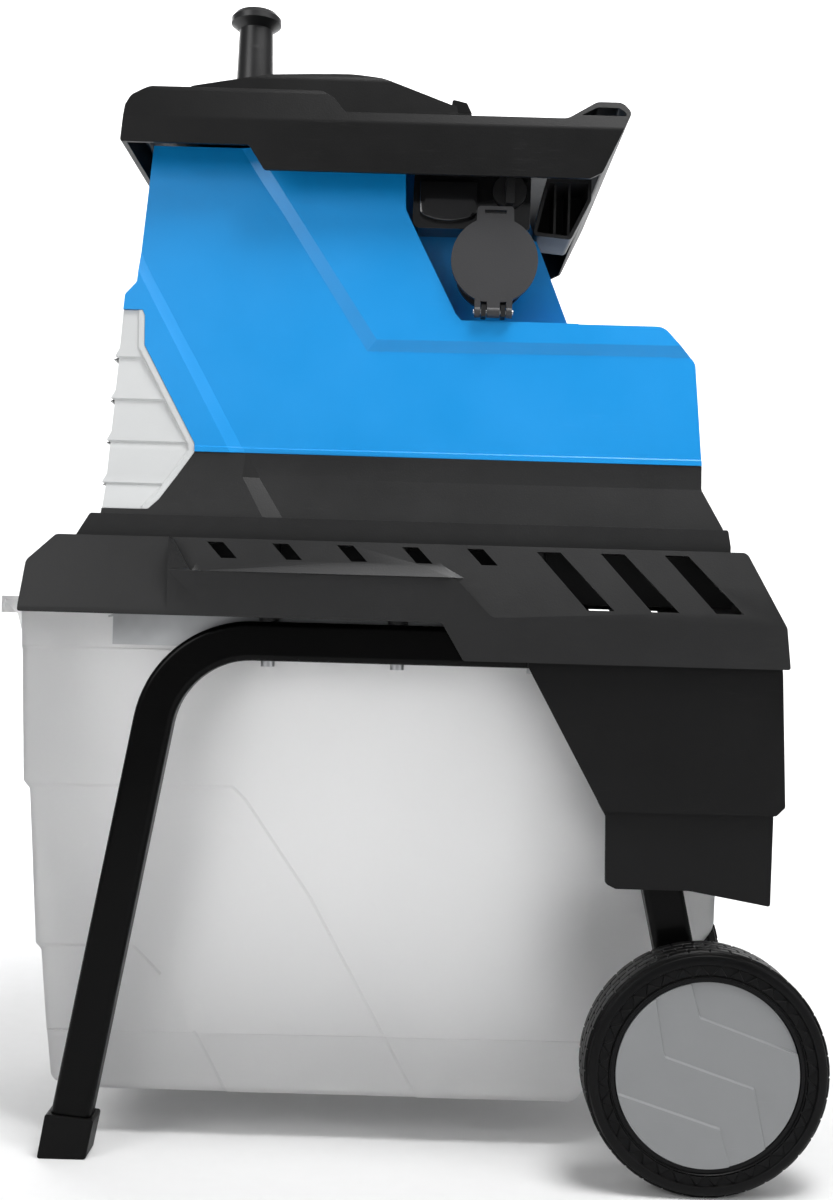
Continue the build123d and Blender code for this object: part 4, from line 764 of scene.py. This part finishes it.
def moulded_ring(tyre, centre, steps, bore):
    """Sink a ring in both side walls and raise a zigzag of triangles in it."""
    def on_ring(face):
        return abs(face.normal.y) > 0.9 and bore + RING_INNER < from_axis(face, centre) < bore + RING_OUTER

    edit(tyre)
    pick(tyre, on_ring)
    bpy.ops.mesh.inset(thickness=RING_BORDER, depth=-RING_DEPTH)
    for parity, method in ((0, "FIXED"), (1, "FIXED_ALTERNATE")):
        pick(tyre, lambda f: on_ring(f) and len(f.verts) == 4 and f.calc_area() > RING_FACE
             and division_of(f, centre, steps) % 2 == parity)
        bpy.ops.mesh.quads_convert_to_tris(quad_method=method, ngon_method="BEAUTY")
    pick(tyre, lambda f: on_ring(f) and len(f.verts) == 3 and from_axis(f, centre) < bore + RING_MIDDLE)
    bpy.ops.mesh.inset(thickness=TOOTH_GAP, depth=TOOTH_RISE)
    clear()


def hub_cap(name, side):
    """Grey disc with three terraces, each lower than the one below it."""
    low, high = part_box("hub_cap_" + name)
    centre = (low + high) / 2
    face_y = side * max(abs(low.y), abs(high.y))
    back_y = side * min(abs(low.y), abs(high.y))
    radius = (high.x - low.x) / 2
    disc = rod("hub_disc_" + name, (centre.x, (face_y + back_y) / 2, centre.z), radius,
               abs(face_y - back_y), 120)
    for line in HUB_LEDGES:
        upper = [(centre.x + x * MM, centre.z + z * MM) for x, z in line]
        lower = [(centre.x + (x - HUB_SLOPE[0]) * MM, centre.z + (z - HUB_SLOPE[1]) * MM) for x, z in line]
        sunk(disc, side, upper, lower, HUB_RISE, abs(back_y) + 0.2 * MM)
    flattened(disc)
    softened(disc, 0.45 * MM, 3, 12)
    finished(disc, "wheel_" + name, look("hub_grey"), "hub_grey", "hub_cap_" + name)


# ---- covers and base -----------------------------------------------------------------------------
COVER_UPPER = millimetres([(-150, 834.4), (-36.5, 659.5), (262, 662)])
COVER_STEP = millimetres([(-137.9, 834.4), (-28.5, 669.5), (262, 671.5)])
STRIP_LOW = millimetres([(-256, 774), (-146.5, 572.5), (-116, 517)])
STRIP_HIGH = millimetres([(-246, 773), (-133.2, 572), (-100, 517)])
POCKET_EDGE = millimetres([(-9.5, 839), (-7.3, 779.7), (4.2, 756), (36.3, 693)])
WALL_WIDTHS = millimetres([(518.5, 162), (552, 154.5), (572, 153), (687, 147), (829, 140)])
SKIN = 1.2 * MM         # corners this far inside the housing's outside still belong to its wall
PROUD = 1.2 * MM        # how far the strips stand out of the housing
BASE_FOOT = 518.3 * MM
BASE_REACH = 2.5 * MM
LIP_HIGH, LIP_TOP, LIP_OUT = 4 * MM, 5 * MM, 0.9 * MM
COVER_FOOT_CUT = 572.5 * MM


def cover_half_width(z):
    """Half width of the housing's outside at a height."""
    for (z0, w0), (z1, w1) in zip(WALL_WIDTHS, WALL_WIDTHS[1:]):
        if z <= z1:
            return w0 + (w1 - w0) * (z - z0) / (z1 - z0)
    return WALL_WIDTHS[-1][1]


def in_wall(corner, side, skin):
    """Whether a corner is in one outside wall of the housing, down to a depth under its surface."""
    return corner.co.y * side > cover_half_width(corner.co.z) - skin


def field_sunk(piece, side, depth, outer):
    """Sink the broad field between the two slanted strips, and bring out the wall around it."""
    def in_field(v):
        return right_of(v, COVER_UPPER) and left_of(v, STRIP_HIGH)

    lines = (COVER_UPPER, COVER_STEP, STRIP_LOW, STRIP_HIGH)
    for line in lines:
        scored(piece, side, line)
    tidied(piece, lines)
    shifted(piece, side, -depth, lambda v: v.co.y * side > outer(v) and in_field(v))
    shifted(piece, side, PROUD, lambda v: v.co.y * side > outer(v) - depth and not in_field(v))


class SHREDDER_OT_covers(bpy.types.Operator):
    """Build the two coloured covers with their sunk field and strips"""
    bl_idname = "shredder.covers"
    bl_label = "Covers"

    def execute(self, context):
        sizes = context.scene.shredder_sizes
        for side, name in ((-1, "left"), (1, "right")):
            cover = copied("shell_" + name, "cover_" + name)
            field_sunk(cover, side, sizes.cover_relief, lambda v: cover_half_width(v.co.z) - SKIN)
            foot = min(corner.co.z for corner in cover.data.vertices)
            for height in (foot + LIP_HIGH, foot + LIP_TOP):
                scored(cover, side, level(height))
            shifted(cover, side, LIP_OUT, lambda v: v.co.z < foot + LIP_HIGH + 0.1 * MM
                    and in_wall(v, side, 2.6 * MM))
            rounded(cover, lambda e: side < 0 and all(
                abs(beyond(v.co.x, v.co.z, POCKET_EDGE)) < 0.4 * MM and in_wall(v, side, 1.5 * MM)
                for v in e.verts), 5 * MM, 1)
            rounded(cover, lambda e: len(e.link_faces) == 2 and all(
                abs(abs(v.co.y) - cover_half_width(v.co.z)) < 2.4 * MM for v in e.verts)
                and sum(abs(f.normal.y) > 0.9 for f in e.link_faces) == 1
                and e.calc_face_angle(0) > 0.9 and min(v.co.z for v in e.verts) > COVER_FOOT_CUT,
                2.6 * MM, 3)
            flattened(cover)
            softened(cover, sizes.edge_round, 2, 10)
            finished(cover, "chassis", look("body_blue"), "body_blue", "shell_" + name)
        return {"FINISHED"}


class SHREDDER_OT_base(bpy.types.Operator):
    """Build the black base under the covers with its slanted strip"""
    bl_idname = "shredder.base"
    bl_label = "Base"

    def execute(self, context):
        sizes = context.scene.shredder_sizes
        base = copied("motor_base", "housing_base")
        for side in (-1, 1):
            field_sunk(base, side, sizes.cover_relief,
                       lambda v: cover_half_width(v.co.z) - SKIN if v.co.z > BASE_FOOT
                       and abs(v.co.y) < cover_half_width(v.co.z) + BASE_REACH else 1.0)
        flattened(base)
        softened(base, sizes.edge_round, 2, 10)
        finished(base, "chassis", look("body_black"), "body_black", "motor_base")
        return {"FINISHED"}


# ---- grille --------------------------------------------------------------------------------------
GRILLE_EDGE = millimetres([(-211, 500), (-211, 523.3), (-202.5, 531.7), (-175.5, 571.7), (-176, 579),
                           (-220.3, 659.6), (-221, 684.7), (-223, 720)])
GRILLE_FOOT, GRILLE_FRONT, GRILLE_LEAN = 518.5, -249, 10 / 170.5
SLAT_LIPS = (650 * MM, 615 * MM, 580 * MM, 545 * MM)
LIP_ABOVE, LIP_UNDER, LIP_REACH = 7 * MM, 1.8 * MM, 3.2 * MM
LAP_DEPTH, WING_SUNK, WING_PROUD = 1.7 * MM, 0.8 * MM, 0.7 * MM
BEAD_IN, BEAD_OUT = 4.5 * MM, 6 * MM


def grille_front(z):
    """X of the grille's front at a height."""
    return (GRILLE_FRONT + GRILLE_LEAN * (z / MM - GRILLE_FOOT)) * MM


class SHREDDER_OT_grille(bpy.types.Operator):
    """Build the grille with a bead round its side wings and a slat over each slot"""
    bl_idname = "shredder.grille"
    bl_label = "Grille"

    def execute(self, context):
        grille = copied("front_grille", "grille_slats")
        bead, field = beside(GRILLE_EDGE, BEAD_IN), beside(GRILLE_EDGE, BEAD_OUT)
        for side in (-1, 1):
            lines = [bead, field]
            for lip in SLAT_LIPS:
                lines += [level(lip), level(lip - LIP_UNDER)]
            for line in lines:
                scored(grille, side, line)
            tidied(grille, lines)
            shifted(grille, side, -LAP_DEPTH, lambda v: in_wall(v, side, SKIN) and left_of(v, field)
                    and any(abs(v.co.z - lip + LIP_UNDER) < SAME for lip in SLAT_LIPS))
            shifted(grille, side, -WING_SUNK, lambda v: in_wall(v, side, 3 * MM) and left_of(v, field))
            shifted(grille, side, WING_PROUD, lambda v: in_wall(v, side, SKIN) and right_of(v, bead))
        for lip in SLAT_LIPS:
            for height in (lip + LIP_ABOVE, lip, lip - LIP_UNDER):
                edit(grille)
                bpy.ops.mesh.select_all(action="SELECT")
                bpy.ops.mesh.bisect(plane_co=(0, 0, height), plane_no=(0, 0, 1), threshold=TOUCH)
            edit(grille, "VERT")
            if pick(grille, lambda v: abs(v.co.z - lip) < SAME and abs(v.co.y) > 129 * MM
                    and v.co.x < grille_front(lip) + 0.8 * MM, "VERT"):
                bpy.ops.transform.translate(value=(-LIP_REACH, 0, 0))
            clear()
        flattened(grille)
        softened(grille, 0.7 * MM, 2, 14)
        finished(grille, "chassis", look("grille_grey"), "grille_grey", "front_grille")
        return {"FINISHED"}


# ---- tray ----------------------------------------------------------------------------------------
TRAY_FOLD = millimetres([(-187.5, 500), (-171, 473), (40.6, 473), (70.6, 442)])
TRAY_CREASE = millimetres([(-241.5, 500), (-209.9, 438)])
FLANK_FOOT, FLANK_SIDE, FOLD_SIDE = 430 * MM, 182 * MM, 188 * MM
FOLD_WIDE, FOLD_OUT, FOLD_ROUND = 9 * MM, 3.4 * MM, 4 * MM
# Corners of the black plate behind the vents on each side: painted shade, a dark sheet where the inside of
# the tray is in shade.
BACKING_LOW, BACKING_HIGH = millimetres([(-182, 139, 455), (272, 141.5, 498)])


class SHREDDER_OT_tray(bpy.types.Operator):
    """Build the tray with its folded flanks, and a black plate behind the vents that stands in for the shade
    inside the tray
    """
    bl_idname = "shredder.tray"
    bl_label = "Tray"

    def execute(self, context):
        tray = copied("base_tray", "tray_folded")
        (left, fold_z), (right, _) = TRAY_FOLD[1:3]
        for side in (-1, 1):
            for line in (TRAY_CREASE, TRAY_FOLD, beside(TRAY_FOLD, FOLD_WIDE)):
                scored(tray, side, line, lambda f: f.calc_center_median().z > FLANK_FOOT)
            shifted(tray, side, FOLD_OUT, lambda v: v.co.y * side > FLANK_SIDE
                    and abs(v.co.z - fold_z) < SAME and left - 0.1 * MM < v.co.x < right + 0.1 * MM)
        flattened(tray)
        rounded(tray, lambda e: all(abs(v.co.z - fold_z) < SAME and abs(v.co.y) > FOLD_SIDE
                                    for v in e.verts), FOLD_ROUND, 4)
        softened(tray, 1.4 * MM, 3, 22)
        # Black plates behind the vents, painted shade so the slots read dark.
        tray_and_backings = [tray]
        for side in (-1, 1):
            backing = block("vent_rib", (BACKING_LOW[0], side * BACKING_LOW[1], BACKING_LOW[2]),
                        (BACKING_HIGH[0], side * BACKING_HIGH[1], BACKING_HIGH[2]))
            outward(backing)
            rounded(backing, lambda e: True, 0.6 * MM, 2)
            tray_and_backings.append(backing)
        tray = merged("tray_folded", tray_and_backings)
        finished(tray, "chassis", look("body_black"), "body_black", "base_tray")
        return {"FINISHED"}


# ---- bin -----------------------------------------------------------------------------------------
BIN_STEPS = [millimetres(line) for line in (
    [(330, 165), (117.8, 162.5), (108.5, 170.5), (62.2, 252.2), (-24.9, 399.5), (-32, 409), (-360, 409)],
    [(34.5, 20), (22, 41.5), (-7.3, 95.8), (-70.1, 207), (-125.4, 286.3), (-137.3, 297.2), (-360, 294)],
    [(-124, 20), (-136.8, 41.3), (-164, 93.6), (-192.7, 139.3), (-216.6, 162.7), (-360, 160.5)],
    [(330, 95), (-360, 91)])]
BIN_SLOPE, BIN_SIDE = 2.6 * MM, 118 * MM


class SHREDDER_OT_bin(bpy.types.Operator):
    """Build the collection bin with the steps moulded in its side walls"""
    bl_idname = "shredder.bin"
    bl_label = "Bin"

    def execute(self, context):
        depth = context.scene.shredder_sizes.bin_relief
        bin_shape = copied("collection_bin", "bin_moulded")
        slopes = [beside(line, BIN_SLOPE) for line in BIN_STEPS]
        for side in (-1, 1):
            for line, slope in zip(BIN_STEPS, slopes):
                for facing in (side, -side):
                    scored(bin_shape, facing, line)
                    scored(bin_shape, facing, slope)
        tidied(bin_shape, BIN_STEPS + slopes)
        for side in (-1, 1):
            for slope in slopes:
                shifted(bin_shape, side, -depth, lambda v: v.co.y * side > BIN_SIDE and left_of(v, slope))
        flattened(bin_shape)
        softened(bin_shape, 0.8 * MM, 2, 11)
        finished(bin_shape, "bin", look("bin_white"), "bin_white", "collection_bin")
        return {"FINISHED"}


# ---- controls ------------------------------------------------------------------------------------
FLAP_SIDE, FLAP_TOP, FLAP_DROP, FLAP_BOW, FLAP_STEPS = 13 * MM, 11 * MM, 22 * MM, 7 * MM, 12
FLAP_GAP, FLAP_LAP, FLAP_SKIN = 1.2 * MM, 0.2 * MM, 1.4 * MM


class SHREDDER_OT_switch_cover(bpy.types.Operator):
    """Build the soft flap that hangs over the start and stop buttons"""
    bl_idname = "shredder.switch_cover"
    bl_label = "Switch cover"

    def execute(self, context):
        start, stop = middle("start_button"), middle("stop_button")
        front = min(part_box("start_button")[0].y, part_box("stop_button")[0].y) - FLAP_GAP
        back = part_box("switch_housing")[0].y + FLAP_LAP
        ends = (start.x - FLAP_SIDE, stop.x + FLAP_SIDE)
        top, low = start.z + FLAP_TOP, start.z - FLAP_DROP
        bow = [(ends[0] + (ends[1] - ends[0]) * step / FLAP_STEPS,
                low + FLAP_BOW * (1 - math.sin(math.pi * step / FLAP_STEPS) ** 0.6))
               for step in range(FLAP_STEPS + 1)]
        flap = across("switch_flap", bow + [(ends[1], top), (ends[0], top)], front, back)
        edit(flap)
        pick(flap, lambda f: f.normal.y > 0.9)
        bpy.ops.mesh.inset(thickness=FLAP_SKIN)
        bpy.ops.mesh.extrude_region_move(TRANSFORM_OT_translate={"value": (0, front - back + FLAP_SKIN, 0)})
        pick(flap, lambda f: f.normal.y < -0.9)
        bpy.ops.mesh.inset(thickness=5 * MM, depth=1.6 * MM)
        clear()
        softened(flap, 1.6 * MM, 4, 25)
        finished(flap, "chassis", look("switch_black"), "switch_black")
        return {"FINISHED"}


# ---- carried-over pieces -------------------------------------------------------------------------
# Edge rounding in millimetres, its segments, and the fold in degrees from which edges are rounded.
SOFTENED_NODES = {
    "rear_guard": (1.6, 3, 25), "hopper": (2.2, 3, 25), "feed_hood": (2.4, 3, 25),
    "grip_bracket": (1.0, 2, 30), "switch_housing": (1.6, 3, 30), "inlet_lid": (1.2, 3, 40),
    "inlet_socket": (0.6, 2, 40), "bin_lock": (0.8, 2, 30), "foot_caps": (1.6, 3, 30),
    "plunger_blade": (0.8, 2, 40), "adjuster_knob": (1.2, 2, 30), "start_button": (0.8, 2, 40),
    "stop_button": (0.8, 2, 40), "direction_selector": (0.8, 2, 40),
}
# Pieces given the black plastic darkened as painted shade.
SHADED_BLACK_NODES = ("rear_guard", "hopper", "feed_hood")


class SHREDDER_OT_mouldings(bpy.types.Operator):
    """Round the edges of the other visible mouldings"""
    bl_idname = "shredder.mouldings"
    bl_label = "Mouldings"

    def execute(self, context):
        slots = slot_of_node()
        bodies = {node: body for body, nodes in frame["record"]["behaviour"]["bodies"].items()
                  for node in nodes}
        for node, (width, segments, angle) in SOFTENED_NODES.items():
            piece = copied(node, node + "_shape")
            softened(piece, width * MM, segments, angle)
            finish_name = "deep_black" if node in SHADED_BLACK_NODES else slots[node]
            finished(piece, bodies[node], look(finish_name), slots[node], node)
        return {"FINISHED"}


def slot_of_node():
    return {part["node"]: part["material_slot"] for part in frame["record"]["subparts"]}


class SHREDDER_OT_finishes(bpy.types.Operator):
    """Give every carried-over piece its finish"""
    bl_idname = "shredder.finishes"
    bl_label = "Finishes"

    def execute(self, context):
        for node, slot in slot_of_node().items():
            piece = frame["nodes"][node]
            if not piece.data.materials:
                piece.data.materials.append(look(slot))
            for index in range(len(piece.data.materials)):
                piece.data.materials[index] = look(slot)
        return {"FINISHED"}


# ---- panel and registration ----------------------------------------------------------------------
PIECES = (SHREDDER_OT_stage, SHREDDER_OT_finishes, SHREDDER_OT_wheels, SHREDDER_OT_covers,
          SHREDDER_OT_base, SHREDDER_OT_grille, SHREDDER_OT_tray, SHREDDER_OT_bin, SHREDDER_OT_switch_cover,
          SHREDDER_OT_mouldings)


class SHREDDER_PT_pieces(bpy.types.Panel):
    """Sizes, colours and one button for each piece"""
    bl_label = "Shredder"
    bl_idname = "SHREDDER_PT_pieces"
    bl_space_type = "VIEW_3D"
    bl_region_type = "UI"
    bl_category = "Shredder"

    def draw(self, context):
        layout = self.layout
        for settings in (context.scene.shredder_colours, context.scene.shredder_sizes):
            for label in settings.__annotations__:
                layout.prop(settings, label)
        for piece in PIECES:
            layout.operator(piece.bl_idname)


CLASSES = (ShredderColours, ShredderSizes, *PIECES, SHREDDER_PT_pieces)


def register():
    for kind in CLASSES:
        bpy.utils.register_class(kind)
    bpy.types.Scene.shredder_colours = PointerProperty(type=ShredderColours)
    bpy.types.Scene.shredder_sizes = PointerProperty(type=ShredderSizes)


def unregister():
    del bpy.types.Scene.shredder_sizes
    del bpy.types.Scene.shredder_colours
    for kind in reversed(CLASSES):
        bpy.utils.unregister_class(kind)


def main():
    register()
    for piece in PIECES:
        group_name, name = piece.bl_idname.split(".")
        getattr(getattr(bpy.ops, group_name), name)()
    clear()


if __name__ == "__main__":
    main()
